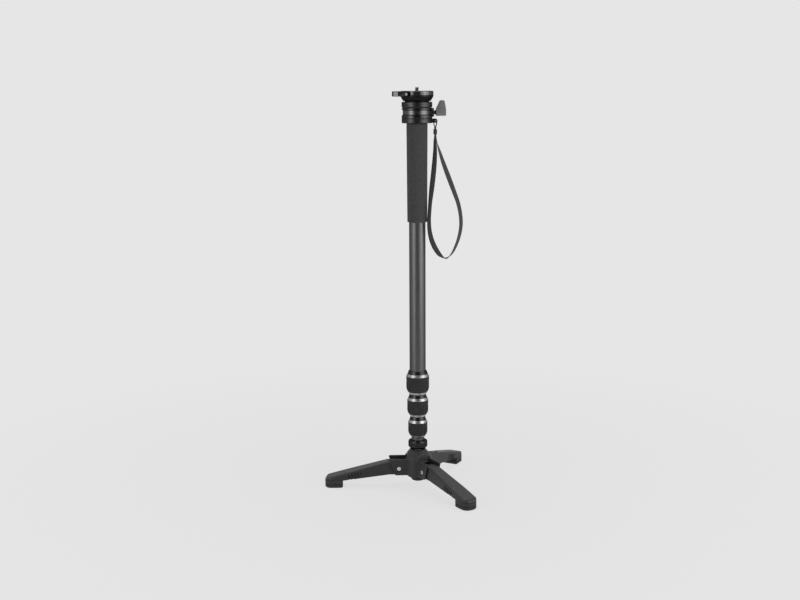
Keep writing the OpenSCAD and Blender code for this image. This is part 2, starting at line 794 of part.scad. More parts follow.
// Middle of the base: ball socket and three forked arms
module hub() {
    color("#2e2e2e") at_mast() difference() {
        union() {
            rotate_extrude() polygon([
                [0, hub_z],
                [hub_d / 2, hub_z],
                [hub_d / 2, hub_shoulder_z],
                [hub_top_r, hub_top_z],
                [0, hub_top_z]
            ]);
            for (a = LEG_ANGLES) rotate([0, 0, a]) {
                translate([0, arm_w / 2, 0]) rotate([90, 0, 0]) linear_extrude(arm_w) polygon([
                    [arm_in, hub_z], [pin_reach + arm_foot - 2, hub_z], [pin_reach + arm_foot, hub_z + 2],
                    [pin_reach + arm_head, arm_top_z - 1.5], [pin_reach + arm_head - 1, arm_top_z],
                    [arm_in, arm_top_z]
                ]);
            }
        }
        translate([0, 0, hub_z - bite]) cylinder(r = socket_r, h = ball_z - hub_z + bite);
        translate([0, 0, ball_z]) sphere(r = ball_d / 2 + slip);
        translate([0, 0, ball_z + neck_h - mouth_sunk])
            cylinder(
                r1 = neck_r - mouth_sunk * mouth_slope,
                r2 = hub_mouth_r + bite * mouth_slope,
                h = hub_top_z - ball_z - neck_h + mouth_sunk + bite
            );
        for (a = LEG_ANGLES) rotate([0, 0, a]) {
            translate([slot_reach, -slot_w / 2, hub_z - bite]) cube([3 * arm_r, slot_w, 4 * arm_r]);
            translate([notch_reach, -slot_w / 2, pin_z + arm_r + notch_lift])
                cube([3 * arm_r, slot_w, 3 * arm_r]);
            rod_y(pin_d / 2 + fit, 2 * arm_w, pin_reach, pin_z);
            for (s = [-1, 1]) translate([0, s * arm_w / 2, 0]) rod_y(pin_d / 2 + 0.7, 1.4, pin_reach, pin_z);
        }
    }
}

// Three hinge pins with heads sunk in the arms' cheeks
module hinge_pins() {
    head = 1.2;
    color("#cfcfcf") for (a = LEG_ANGLES) at_angle(a) difference() {
        union() {
            rod_y(pin_d / 2, arm_w, pin_reach, pin_z);
            for (s = [-1, 1]) translate([0, s * (arm_w / 2 - 0.1), 0])
                rod_y(pin_d / 2 + 0.6, head, pin_reach, pin_z);
        }
        for (s = [-1, 1]) translate([pin_reach, s * (arm_w / 2 + 0.5), pin_z])
            rotate([90, 0, 0]) cylinder(r = 1.4, h = 2.4, center = true, $fn = 6);
    }
}

// Thin washers between a leg's tongue and the cheeks
module hinge_washers() {
    t = leg_play - 0.05;
    color("#e4e4de") for (a = LEG_ANGLES, s = [-1, 1]) at_angle(a)
        translate([0, s * (slot_w - t) / 2, 0]) difference() {
            rod_y(pin_d / 2 + 4, t, pin_reach, pin_z);
            rod_y(pin_d / 2 + fit, 2 * t, pin_reach, pin_z);
        }
}

// Cap that closes the socket from below and loads the drag spring
module bottom_cap() {
    color("#262626") at_mast() difference() {
        union() {
            translate([0, 0, hub_z - cap_flange_h]) cylinder(r = cap_flange_r, h = cap_flange_h);
            translate([0, 0, hub_z - bite]) cylinder(r = socket_r - slip, h = cap_top_z - hub_z + bite);
        }
        translate([0, 0, hub_z - cap_flange_h - bite])
            cylinder(r = foot_plug_r() + slip, h = foot_plug_h() + bite);
    }
}

function foot_plug_r() = foot_d / 2 - 4.35;
function foot_plug_h() = 6;

// Domed rubber foot under the hub
module rubber_foot() {
    z = hub_z - cap_flange_h;
    r = foot_d / 2;
    color("#151515") at_mast() {
        rotate_extrude() polygon([
            [0, foot_z], [r - 4.5, foot_z], [r - 1.6, foot_z + 1.2], [r - 0.3, foot_z + 3.4],
            [r, foot_z + 5], [r, z], [0, z]
        ]);
        translate([0, 0, z - bite]) cylinder(r = foot_plug_r(), h = foot_plug_h() - 0.2 + bite);
    }
}

// Coned washer that presses the seat against the ball
module drag_spring() {
    t = 1.4;
    rim = cap_top_z;
    crown = cap_top_z + spring_h;
    color("#a8a8a8") at_mast() rotate_extrude() polygon([
        [socket_r - 1, rim], [socket_r - 1, rim + t], [7, crown], [7, crown - t]
    ]);
}

// Cup under the ball
module ball_seat() {
    z0 = cap_top_z + spring_h + 0.1;
    color("#dcdcd4") at_mast() difference() {
        translate([0, 0, z0]) cylinder(r = seat_r - eps, h = ball_z - 0.1 - z0);
        translate([0, 0, ball_z]) sphere(r = ball_d / 2 + slip);
        translate([0, 0, z0 - bite]) cylinder(r = 5, h = ball_z - z0);
    }
}

// Ball, stem and the stud that holds the lowest tube
module ball_stem() {
    stop_h = 1.3;
    color("#bdbdbd") at_mast() {
        translate([0, 0, ball_z]) sphere(r = ball_d / 2);
        translate([0, 0, ball_z]) cylinder(r = stem_d / 2, h = stem_top_z - ball_z);
        translate([0, 0, ring_z + ring_recess_h - 0.2 - stop_h])
            cylinder(r = stem_d / 2 + 1.5, h = stop_h);
        translate([0, 0, stem_top_z - bite]) cylinder(r = stem_thread_r, h = stem_thread_h + bite);
    }
}

// Plug that closes the lowest tube on the stem
module base_plug() {
    color("#2c2c2c") at_mast() difference() {
        union() {
            translate([0, 0, stem_top_z]) cylinder(r = tube_r(4) + 1.7, h = plug_flange_h);
            translate([0, 0, plug_z - bite]) cylinder(r = tube_bore_r(4) - fit, h = plug_spigot_h + bite);
        }
        translate([0, 0, stem_top_z - bite])
            cylinder(r = stem_thread_r + fit, h = plug_flange_h + plug_spigot_h + 2 * bite);
    }
}

// Ring round the stem, hollow below so that it clears the hub when the column tilts
module tilt_ring() {
    r = tilt_ring_d / 2;
    top = ring_z + tilt_ring_h;
    color("#262626") at_mast() difference() {
        rotate_extrude() polygon([
            [stem_d / 2 + 0.06, ring_z],
            [r - 2.7, ring_z],
            [r, ring_z + 3],
            [r, top - 3.2],
            [r - 0.9, top - 1.2],
            [r - 3.4, top],
            [stem_d / 2 + 0.06, top]
        ]);
        translate([0, 0, ring_z - bite]) cylinder(r = r - 3.6, h = ring_recess_h + bite);
    }
}

// Legs

// Point on the round tip, from the top line down to the shoe
function tip_angle(k) =
    let (top = 90 - leg_slope, low = asin((shoe_h - tip_z) / tip_r)) top + (low - top) * k / tip_steps;
function tip_point(k) = [tip_x + tip_r * cos(tip_angle(k)), tip_z + tip_r * sin(tip_angle(k))];

// Side view of a leg from its crest: top left high for the crest bar to cut, round tip, flat foot
module leg_side() {
    polygon(concat(
        [[crest_x - 1, shoulder_z], [crest_x - 1, crest_z], [crest_x + 6, crest_z + 0.5]],
        [1.5 * tip_point(0) - 0.5 * tip_point(1)],
        [for (k = [1 : tip_steps]) tip_point(k)],
        [[heel_x, shoe_h]]
    ));
}

// Side view of a leg's root: round on the pin, then level to the crest
module root_side() {
    translate([pin_reach, pin_z]) circle(r = tongue_r);
    polygon([
        [pin_reach, pin_z - tongue_r], [shoulder_x, shoulder_z], [crest_x + 1, shoulder_z],
        [crest_x + 1, crest_z - edge_r], [crest_x - 2.5, crest_z - 0.4], [pin_reach, pin_z + tongue_r]
    ]);
}

// Plan of the foot, with round corners at the tip
module foot_plan(x0, inset) {
    w = leg_foot_w / 2 - inset;
    x1 = leg_reach - corner_r;
    c = corner_r - inset;
    y = leg_foot_w / 2 - corner_r;
    translate([x0, -w]) square([x1 - x0, 2 * w]);
    translate([x1 - eps, -y]) square([c + eps, 2 * y]);
    for (s = [-1, 1]) translate([x1, s * y]) circle(r = c);
}

// Plan of a leg that widens from its crest to its foot
module leg_plan() {
    polygon([
        [crest_x - 1, -leg_w / 2], [crest_x, -leg_w / 2], [heel_x + eps, -leg_foot_w / 2],
        [heel_x + eps, leg_foot_w / 2], [crest_x, leg_w / 2], [crest_x - 1, leg_w / 2]
    ]);
    foot_plan(heel_x, 0);
}

// Places children on the leg's top line, with x along it
module on_crest() translate([crest_x, 0, crest_z]) rotate([0, leg_slope, 0]) children();

// Bar with rounded upper edges, under the top line
module crest_bar(w) {
    on_crest() translate([-leg_thick / 2, 0, 0]) rotate([90, 0, 90]) linear_extrude(2 * leg_reach) {
        translate([-w / 2, -leg_thick]) square([w, leg_thick - edge_r]);
        translate([edge_r - w / 2, -leg_thick]) square([w - 2 * edge_r, leg_thick]);
        for (s = [-1, 1]) translate([s * (w / 2 - edge_r), -edge_r]) circle(r = edge_r);
    }
}

// Half-space with one rounded upper edge, turned out along a widening side
module side_bar(s) {
    y = leg_w / 2 + edge_out;
    on_crest() mirror([0, s < 0 ? 1 : 0, 0]) rotate([0, 0, flare_angle])
        translate([-leg_thick / 2, 0, edge_lift]) rotate([90, 0, 90]) linear_extrude(2 * leg_reach) {
            translate([-leg_thick, -leg_thick]) square([leg_thick + y, leg_thick - edge_r]);
            translate([-leg_thick, -leg_thick]) square([leg_thick + y - edge_r, leg_thick]);
            translate([y - edge_r, -edge_r]) circle(r = edge_r);
        }
}

module leg_shape() {
    difference() {
        union() {
            intersection() {
                translate([0, leg_foot_w, 0]) rotate([90, 0, 0]) linear_extrude(2 * leg_foot_w) leg_side();
                linear_extrude(2 * leg_thick) leg_plan();
                crest_bar(leg_foot_w + 2 * edge_out);
                side_bar(1);
                side_bar(-1);
            }
            translate([0, leg_w / 2, 0]) rotate([90, 0, 0]) linear_extrude(leg_w) root_side();
            translate([stud_x, 0, shoe_h - stud_h]) cylinder(r = stud_r, h = stud_h + bite);
        }
        rod_y(pin_d / 2 + slip, 2 * leg_w, pin_reach, pin_z);
        on_crest() translate([(pocket_x - crest_x) / cos(leg_slope), -pocket_w / 2, -leg_thick])
            cube([(pocket_end - pocket_x) / cos(leg_slope), pocket_w, leg_thick - pocket_roof]);
        for (k = [0 : leg_slots - 1], s = [-1, 1])
            on_crest() translate([(slots_x + k * slot_pitch - crest_x) / cos(leg_slope), 0, 0])
                translate([-slot_t / 2, s * leg_foot_w / 2 - slot_deep, -slot_drop - slot_h])
                    cube([slot_t, 2 * slot_deep, slot_h]);
    }
}

module leg(i) {
    color("#353535") at_angle(LEG_ANGLES[i - 1]) leg_shape();
}

// Rubber shoe on the stud under a leg's tip
module shoe(i) {
    color("#1b1b1b") at_angle(LEG_ANGLES[i - 1]) difference() {
        union() {
            linear_extrude(shoe_foot_in) foot_plan(heel_x + shoe_heel_r, shoe_foot_in);
            translate([0, 0, shoe_foot_in]) linear_extrude(shoe_h - shoe_foot_in)
                foot_plan(heel_x + shoe_heel_r, 0);
            shoe_heel(shoe_foot_in, 0, shoe_foot_in);
            shoe_heel(0, shoe_foot_in, shoe_h - shoe_foot_in);
        }
        translate([stud_x, 0, shoe_h - stud_h - 0.1]) cylinder(r = stud_r + fit, h = stud_h + bite);
        difference() {
            translate([0, 0, shoe_line_z]) linear_extrude(shoe_line_h) translate([heel_x - bite, -leg_foot_w])
                square([shoe_l + 2 * bite, 2 * leg_foot_w]);
            translate([0, 0, shoe_line_z - bite]) linear_extrude(shoe_line_h + 2 * bite) {
                foot_plan(heel_x + shoe_heel_r, shoe_foot_in);
                translate([heel_x + shoe_foot_in, shoe_heel_r - leg_foot_w / 2])
                    square([shoe_heel_r, leg_foot_w - 2 * shoe_heel_r]);
            }
        }
    }
}

// Round-cornered back of a shoe
module shoe_heel(inset, z, h) {
    translate([0, 0, z]) linear_extrude(h) {
        y = leg_foot_w / 2 - shoe_heel_r;
        translate([heel_x + inset, -y]) square([shoe_heel_r - inset + eps, 2 * y]);
        for (s = [-1, 1]) translate([heel_x + shoe_heel_r, s * y]) circle(r = shoe_heel_r - inset);
    }
}

hub();
hinge_pins();
hinge_washers();
bottom_cap();
rubber_foot();
drag_spring();
leg(1);  // leg_1
leg(2);  // leg_2
leg(3);  // leg_3
shoe(1);  // shoe_1
shoe(2);  // shoe_2
shoe(3);  // shoe_3
ball_seat();
ball_stem();
base_plug();
tilt_ring();
tube(4);  // tube_4
guide_cap(4);  // guide_cap_4
tube(3);  // tube_3
guide_cap(3);  // guide_cap_3
ferrule(3);  // ferrule_3
collet(3);  // collet_3
twist_ring(3);  // twist_ring_3
lock_sleeve(3);  // lock_sleeve_3
tube(2);  // tube_2
guide_cap(2);  // guide_cap_2
ferrule(2);  // ferrule_2
collet(2);  // collet_2
twist_ring(2);  // twist_ring_2
lock_sleeve(2);  // lock_sleeve_2
tube(1);  // tube_1
ferrule(1);  // ferrule_1
collet(1);  // collet_1
twist_ring(1);  // twist_ring_1
lock_sleeve(1);  // lock_sleeve_1
grip();
head_spigot();
strap_collar();
strap_bar();
strap_tab();
strap_crimp();
wrist_strap();
pan_base();
pan_washer();
brake_pad();
pan_knob();
knob_screw();
pan_ring();
pan_spindle();
retaining_ring();
clamp_body();
clamp_bolt();
clamp_lever();
lever_screw();
camera_plate();
plate_pad();
camera_screw();
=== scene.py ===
"""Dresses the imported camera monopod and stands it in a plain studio.

The frame holds every rigid part. The pieces made here stand for its soft solids and for its ribbed, threaded and
moulded parts, and every part gets its own finish. All sizes are in metres, in the frame's own axes.
"""
import functools
import json
import math

import bmesh
import bpy
from bpy.props import FloatProperty, FloatVectorProperty, IntProperty, PointerProperty
from mathutils import Matrix, Vector


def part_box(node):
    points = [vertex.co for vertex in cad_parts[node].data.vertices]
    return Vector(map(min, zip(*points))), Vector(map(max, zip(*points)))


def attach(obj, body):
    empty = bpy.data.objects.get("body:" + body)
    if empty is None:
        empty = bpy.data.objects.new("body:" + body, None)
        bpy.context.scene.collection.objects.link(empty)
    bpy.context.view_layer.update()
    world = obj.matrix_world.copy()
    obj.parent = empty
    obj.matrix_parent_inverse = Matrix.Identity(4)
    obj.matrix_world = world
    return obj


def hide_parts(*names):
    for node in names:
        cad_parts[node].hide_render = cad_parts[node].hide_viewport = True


bl_info = {
    "name": "Camera Monopod Dressing",
    "version": (1, 0, 0),
    "blender": (4, 5, 0),
    "location": "View3D > Sidebar > Monopod",
    "description": "Finishes, soft pieces and studio for a camera monopod with a folding foot",
    "category": "Object",
}

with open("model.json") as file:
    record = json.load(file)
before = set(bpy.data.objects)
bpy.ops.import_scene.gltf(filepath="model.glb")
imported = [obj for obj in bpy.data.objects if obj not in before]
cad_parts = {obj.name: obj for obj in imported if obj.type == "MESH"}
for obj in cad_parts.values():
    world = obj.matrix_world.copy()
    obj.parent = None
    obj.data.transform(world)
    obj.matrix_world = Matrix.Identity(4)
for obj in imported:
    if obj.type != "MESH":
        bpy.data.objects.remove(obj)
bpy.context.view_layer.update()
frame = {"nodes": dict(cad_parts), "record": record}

MM = 0.001
TURN = 2 * math.pi


def middle(node):
    """Middle of a CAD node's box."""
    low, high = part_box(node)
    return 0.5 * (low + high)


def half_width(node):
    """Half the width of a CAD node's box, which is the radius of a round one."""
    low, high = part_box(node)
    return 0.5 * (high.x - low.x)


MAST = Vector((middle("tube_1").x, middle("tube_1").y, 0))
LOCKS = (1, 2, 3)
LEVER_TURN = math.radians(234)
LEG_BODIES = {1: "left_leg", 2: "front_leg", 3: "back_leg"}

# Middle line of the wrist strap, in millimetres: x and z from the strap bar, y from the mast, and the heading of the
# webbing's width in degrees from +X. The part's source runs the loop within 2 mm of these points.
STRAP_ROUTE = (
    (-0.75, 0, -23, 90), (-0.65, 0, -28, 97), (-0.5, 0, -34, 110), (-0.2, -1, -45, 121),
    (-0.7, -2, -58, 130), (-1.9, -4, -73, 138), (-4, -6, -93, 143), (-6.4, -7, -113, 140),
    (-8.8, -8.5, -133, 126), (-10.4, -10, -151, 122), (-11.2, -10.5, -167, 123), (-10.4, -10, -183, 130),
    (-7, -8, -199, 143), (-1, -5, -213.5, 153), (6.6, -2, -225.5, 146), (12.6, 0, -231, 124),
    (17.4, 1, -233, 100), (22.6, 1, -231, 80), (28.8, 1, -224.5, 66), (34.4, 1, -214, 58),
    (39.2, 0, -201, 54), (42.6, 0, -187, 51), (44, 0, -173, 50), (42.8, 0, -157, 49),
    (39, 0, -139, 46), (33.4, 0, -123, 42), (26.6, 0, -105, 36), (19.4, 0, -86, 38),
    (12.8, 0, -68, 48), (7, 0, -50, 66), (2.8, 0, -36, 88), (1.1, 0, -28, 93), (0.75, 0, -23, 90),
)


# Settings

def colour(name, description, *levels):
    """A colour that a user may change. A single level stands for a grey."""
    default = levels if len(levels) == 3 else levels * 3
    return FloatVectorProperty(
        name=name, description=description, subtype="COLOR", size=3, min=0, max=1, default=default
    )


def number(name, description, default, **more):
    """A number that a user may change."""
    return FloatProperty(name=name, description=description, default=default, **more)


def length(name, description, default):
    """A length that a user may change."""
    return number(name, description, default, subtype="DISTANCE", unit="LENGTH", precision=5, min=0)


class MonopodFinishes(bpy.types.PropertyGroup):
    """Colours of the finishes."""
    head: colour("Head", "Black anodised metal of the head", 0.038, 0.038, 0.039)
    plate: colour("Camera plate", "Polished black metal of the camera plate", 0.080, 0.080, 0.081)
    band: colour("Band", "Plain band round the pan base", 0.086, 0.086, 0.088)
    # Pale grey painted on the thumb pad as a painted reflection of a softbox; the lever screw shares this grey
    thumb: colour("Thumb pad", "Bare metal of the lever's thumb pad", 0.45)
    lever: colour("Lever", "Black of the clamp lever", 0.014)
    tube: colour("Tubes", "Dark satin metal of the tubes", 0.088, 0.088, 0.090)
    lock: colour("Lock rings", "Bright metal of the twist rings", 0.31, 0.31, 0.315)
    # The tails' paler tone is a painted highlight, set against the shade under the sleeves
    tail: colour("Lock tails", "Paler metal of the rings below the sleeves", 0.56)
    collar: colour("Lock collars", "Dark metal of the collars above the locks", 0.030, 0.030, 0.031)
    sleeve: colour("Lock sleeves", "Black rubber of the ribbed sleeves", 0.019)
    sole: colour("Shoes", "Rubber of the shoes and the foot", 0.024)
    pad: colour("Plate pad", "Rubber pad on the camera plate", 0.018)
    foam: colour("Grip", "Foam of the grip", 0.054)
    moulding: colour("Legs", "Moulded plastic of the hub and legs", 0.016, 0.016, 0.0165)
    steel: colour("Steel", "Pins and screws", 0.72, 0.72, 0.71)
    stud: colour("Camera screw", "Dark steel of the camera screw", 0.20)
    knob: colour("Knob", "Grey plastic of the pan knob", 0.155, 0.155, 0.157)
    webbing: colour("Webbing", "Wrist strap", 0.044, 0.044, 0.045)
    thread: colour("Thread", "Stitches of the strap", 0.085)
    bearing: colour("Bearings", "Pale bearing plastic", 0.62, 0.61, 0.57)
    ground: colour("Ground", "Floor and background", 0.791)


class MonopodDetails(bpy.types.PropertyGroup):
    """Sizes of what the pieces add to the frame."""
    sleeve_wall: length("Sleeve wall", "Thickness of a rubber sleeve", 3.15 * MM)
    rib_height: length("Rib height", "Height of a sleeve's ribs", 0.85 * MM)
    ribs: IntProperty(name="Ribs", description="Number of ribs round a sleeve", min=12, max=90, default=32)
    grip_wall: length("Grip wall", "Foam thickness at the top of the grip", 3.8 * MM)
    grip_taper: length("Grip taper", "How much the grip's radius falls to its lower end", 0.95 * MM)
    grip_lip: length("Grip lip", "Radius of the grip's soft ends", 1.6 * MM)
    foam_dent: length("Foam dents", "Depth of the foam's uneven surface", 0.10 * MM)
    strap_width: length("Strap width", "Width of the webbing", 10 * MM)
    strap_thick: length("Strap thickness", "Thickness of the webbing", 1.2 * MM)
    strap_length: length("Strap length", "Length of the loop from keeper to keeper", 0.4478)
    mould_mesh: length("Mould mesh", "Fineness of the mesh on which the hub and legs are rounded", 0.5 * MM)
    keeper_wall: length("Keeper wall", "How far the keeper stands out from the crimp", 0.8 * MM)
    stitch: length("Stitch", "Length of a stitch", 1.5 * MM)
    thread_pitch: length("Thread pitch", "Pitch of the camera screw", 1.27 * MM)
    thread_depth: length("Thread depth", "Depth of the camera screw's thread", 0.55 * MM)
    pad_ridge: length("Pad ridge", "Distance between the pad's ridges", 1.6 * MM)
    wing_thick: length("Wing thickness", "Thickness of the pan knob's wing", 5 * MM)


class MonopodStudio(bpy.types.PropertyGroup):
    """Camera and light."""
    distance: length("Camera distance", "From the mast to the camera, on the floor", 2.05)
    aside: length("Camera aside", "How far the camera stands left of the mast", 0.030)
    height: length("Camera height", "Height of the camera", 0.6865)
    yaw: number("Yaw", "Heading of the view", math.radians(2.532), subtype="ANGLE")
    pitch: number("Pitch", "Downward tilt", math.radians(9.88), subtype="ANGLE")
    roll: number("Roll", "Lean of the view", math.radians(0.30), subtype="ANGLE")
    lens: number("Lens", "Focal length for a 36 mm sensor", 54.52, min=10)
    left_light: number("Left light", "Power of the left softbox", 10, min=0)
    right_light: number("Right light", "Power of the right softbox", 17, min=0)
    top_light: number("Top light", "Power of the overhead softbox", 17, min=0)
    strip_light: number("Strip lights", "Power of the strip in each softbox", 3, min=0)
    fill: number("Fill", "Level of the room's light", 0.16, min=0)
    card: length("Black card", "Width of the black card behind the camera", 2.1)
    shadow: number("Shadow", "Share of shadow that the floor keeps", 0.14, min=0, max=1)


def finishes():
    return bpy.context.scene.monopod_finishes


def details():
    return bpy.context.scene.monopod_details


def studio():
    return bpy.context.scene.monopod_studio


# Nodes and materials

def feed(tree, socket, value):
    """Links a socket to another node's output, or sets it to a value."""
    if isinstance(value, bpy.types.NodeSocket):
        tree.links.new(value, socket)
    else:
        socket.default_value = value


def put(tree, kind, sockets=None, **settings):
    """Adds a node with its settings and feeds its sockets."""
    made = tree.nodes.new(kind)
    for key, value in settings.items():
        setattr(made, key, value)
    for key, value in (sockets or {}).items():
        feed(tree, made.inputs[key], value)
    return made


def math_node(tree, operation, first, second=0.0):
    """The result of an operation on one or two values."""
    return put(tree, "ShaderNodeMath", {0: first, 1: second}, operation=operation).outputs[0]


def between(tree, value, low, high):
    """1 where a value lies between two others."""
    above = math_node(tree, "GREATER_THAN", value, low)
    below = math_node(tree, "LESS_THAN", value, high)
    return math_node(tree, "MULTIPLY", above, below)


def spread(tree, value, low, high, start=0.3, end=0.7):
    """Maps a pattern's middle range to a range of values."""
    return put(tree, "ShaderNodeMapRange", {
        "Value": value, "From Min": start, "From Max": end, "To Min": low, "To Max": high
    }).outputs["Result"]


def object_point(tree, stretch=(1, 1, 1)):
    """The point on the surface, stretched along the frame's axes."""
    where = put(tree, "ShaderNodeTexCoord").outputs["Object"]
    return put(tree, "ShaderNodeMapping", {"Vector": where, "Scale": stretch}).outputs["Vector"]


def from_mast(tree, where):
    """Distance of a point from the mast's foot."""
    return put(tree, "ShaderNodeVectorMath", {0: where, 1: MAST}, operation="DISTANCE").outputs["Value"]


def noise(tree, scale, detail, stretch=(1, 1, 1)):
    """Cloudy pattern, fixed to the part."""
    sockets = {"Vector": object_point(tree, stretch), "Scale": scale, "Detail": detail}
    return put(tree, "ShaderNodeTexNoise", sockets).outputs["Fac"]


def cells(tree, scale):
    """Pattern of small round cells, fixed to the part."""
    sockets = {"Vector": object_point(tree), "Scale": scale}
    return put(tree, "ShaderNodeTexVoronoi", sockets, feature="SMOOTH_F1").outputs["Distance"]


def tint(base, factor):
    """A colour made lighter or darker, as a socket takes it."""
    return tuple(min(1.0, channel * factor) for channel in base) + (1.0,)


def shade(tree, factor, first, second):
    """A colour between two, by a pattern. A Mix node's colour sockets have to be named by their numbers."""
    return put(tree, "ShaderNodeMix", {0: factor, 6: first, 7: second}, data_type="RGBA").outputs[2]


# How much a dark metal keeps of the pale rim that bare metal shows at a glancing view
DARK_RIM = (0.3, 0.3, 0.3, 1)


class Finish:
    """A Principled material that is built up from patterns. A pattern is given by its scale, detail and stretch."""

    def __init__(self, name, base, roughness, metallic=0.0):
        self.material = bpy.data.materials.new(name)
        self.material.use_nodes = True
        self.tree = self.material.node_tree
        self.shader = self.tree.nodes["Principled BSDF"]
        self.base = tuple(base)
        self.normal = None
        self.paint(tint(self.base, 1))
        self.set("Roughness", roughness)
        self.set("Metallic", metallic)

    def set(self, socket, value):
        """Feeds a socket of the shader."""
        feed(self.tree, self.shader.inputs[socket], value)

    def paint(self, tone):
        """Makes a tone the colour so far."""
        self.tone = tone
        self.set("Base Color", tone)

    def blotches(self, low, high, *pattern):
        """Varies the colour by a pattern."""
        factor = spread(self.tree, noise(self.tree, *pattern), 0, 1)
        self.paint(shade(self.tree, factor, tint(self.base, low), tint(self.base, high)))

    def polish(self, low, high, *pattern):
        """Varies the roughness by a pattern."""
        self.set("Roughness", spread(self.tree, noise(self.tree, *pattern), low, high))

    def band(self, mask, base):
        """Gives the places that a mask marks another colour."""
        self.paint(shade(self.tree, mask, self.tone, tint(base, 1)))

    def edges(self, radius, highlight_lift):
        """Rounds the edges for the light, and paints them a lighter tone as a painted highlight."""
        self.normal = put(self.tree, "ShaderNodeBevel", {"Radius": radius}, samples=4).outputs["Normal"]
        flat = put(self.tree, "ShaderNodeNewGeometry").outputs["Normal"]
        turn = put(self.tree, "ShaderNodeVectorMath", {0: self.normal, 1: flat}, operation="DOT_PRODUCT")
        edge_highlight = spread(self.tree, turn.outputs["Value"], 1, 0, 0.75, 0.98)
        self.paint(shade(self.tree, edge_highlight, self.tone, tint(self.base, highlight_lift)))
        self.set("Normal", self.normal)

    def paint_hollow_shade(self, reach, low):
        """Darkens the tone in recesses as painted shade."""
        seen = put(self.tree, "ShaderNodeAmbientOcclusion", {"Distance": reach}, samples=8).outputs["AO"]
        unshaded_share = spread(self.tree, seen, 0, 1, 0.3, 0.85)
        self.paint(shade(self.tree, unshaded_share, tint(self.base, low), self.tone))

    def bump(self, height, relief, strength=1.0):
        """Adds a relief to the surface."""
        sockets = {"Height": relief, "Distance": height, "Strength": strength}
        if self.normal is not None:
            sockets["Normal"] = self.normal
        self.normal = put(self.tree, "ShaderNodeBump", sockets).outputs["Normal"]
        self.set("Normal", self.normal)

    def grain(self, height, *pattern):
        """Adds a pattern's relief."""
        self.bump(height, noise(self.tree, *pattern))


def waist_mask(tree):
    """1 on the plain band round the pan base's waist."""
    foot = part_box("pan_base")[0].z
    start, end, reach = foot + 7 * MM, foot + 13 * MM, 24.2 * MM
    axes = put(tree, "ShaderNodeSeparateXYZ", {"Vector": object_point(tree)}).outputs
    flat = put(tree, "ShaderNodeCombineXYZ", {"X": axes["X"], "Y": axes["Y"]}).outputs[0]
    inside = math_node(tree, "LESS_THAN", from_mast(tree, flat), reach)
    return math_node(tree, "MULTIPLY", between(tree, axes["Z"], start, end), inside)


def painted_tail_highlight_mask(tree):
    """1 on the tails of the twist rings, below their sleeves, where a paler tone is painted as a highlight."""
    height = put(tree, "ShaderNodeSeparateXYZ", {"Vector": object_point(tree)}).outputs["Z"]
    spare = 1 * MM
    mask = 0.0
    for lock in LOCKS:
        foot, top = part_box(f"twist_ring_{lock}")[0].z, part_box(f"lock_sleeve_{lock}")[0].z
        mask = math_node(tree, "MAXIMUM", between(tree, height, foot - spare, top + spare), mask)
    return mask


def black_metal(name, base, roughness, ring_lines=False, banded=False):
    """Satin black anodising with a fine blasted grain; turned parts show faint tool lines."""
    made = Finish(name, base, roughness, 0.85)
    made.set("Specular Tint", DARK_RIM)
    made.blotches(0.88, 1.12, 90, 3)
    if banded:
        made.band(waist_mask(made.tree), finishes().band)
    made.edges(0.35 * MM, 2.6)
    made.paint_hollow_shade(1.5 * MM, 0.15)
    if ring_lines:
        lines = (1, 2, (60, 60, 2600))
        made.polish(roughness - 0.06, roughness + 0.08, *lines)
        made.grain(0.012 * MM, *lines)
    else:
        made.polish(roughness - 0.04, roughness + 0.06, 160, 3)
    made.grain(0.010 * MM, 5200, 2)
    return made


def tube_metal(name, base):
    """Dark satin tube, drawn along its length."""
    made = Finish(name, base, 0.38, 0.88)
    made.set("Specular Tint", DARK_RIM)
    made.blotches(0.90, 1.10, 1, 3, (900, 900, 14))
    made.edges(0.25 * MM, 1.8)
    made.polish(0.33, 0.42, 1, 3, (1600, 1600, 30))
    made.grain(0.010 * MM, 1, 2, (2600, 2600, 40))
    made.grain(0.008 * MM, 4200, 2)
    return made


def turned_metal(name, base):
    """Bright metal with the fine rings of a lathe tool."""
    made = Finish(name, base, 0.32, 1.0)
    made.set("Specular Tint", DARK_RIM)
    made.blotches(0.88, 1.10, 1, 2, (30, 30, 1900))
    # Paler tone painted on the tails as a highlight
    made.band(painted_tail_highlight_mask(made.tree), finishes().tail)
    made.edges(0.25 * MM, 1.5)
    made.polish(0.28, 0.38, 1, 2, (40, 40, 2400))
    made.grain(0.012 * MM, 1, 2, (40, 40, 3200))
    return made


def rubber(name, base, roughness=0.72):
    """Matt rubber with a fine grain and painted shade in its recesses."""
    made = Finish(name, base, roughness)
    made.set("Specular IOR Level", 0.35)
    made.blotches(0.82, 1.22, 260, 4)
    made.edges(0.3 * MM, 1.5)
    made.paint_hollow_shade(1.2 * MM, 0.12)
    made.polish(roughness - 0.08, roughness + 0.10, 420, 3)
    made.grain(0.03 * MM, 3400, 3)
    return made


def foam(name, base):
    """Closed-cell foam: small pits, a soft sheen and uneven tone."""
    made = Finish(name, base, 0.86)
    made.set("Specular IOR Level", 0.2)
    made.set("Sheen Weight", 0.04)
    made.set("Sheen Roughness", 0.5)
    made.blotches(0.78, 1.24, 520, 5)
    made.grain(0.10 * MM, 900, 3)
    made.bump(0.12 * MM, cells(made.tree, 1700))
    return made


def moulding(name, base):
    """Charcoal glass-filled plastic with a fine spark-eroded grain."""
    made = Finish(name, base, 0.5)
    made.set("Specular IOR Level", 0.4)
    made.blotches(0.88, 1.14, 70, 4)
    made.edges(0.8 * MM, 1.5)
    made.paint_hollow_shade(4 * MM, 0.06)
    made.polish(0.46, 0.58, 300, 3)
    made.grain(0.035 * MM, 1500, 3)
    made.bump(0.015 * MM, cells(made.tree, 2600))
    return made


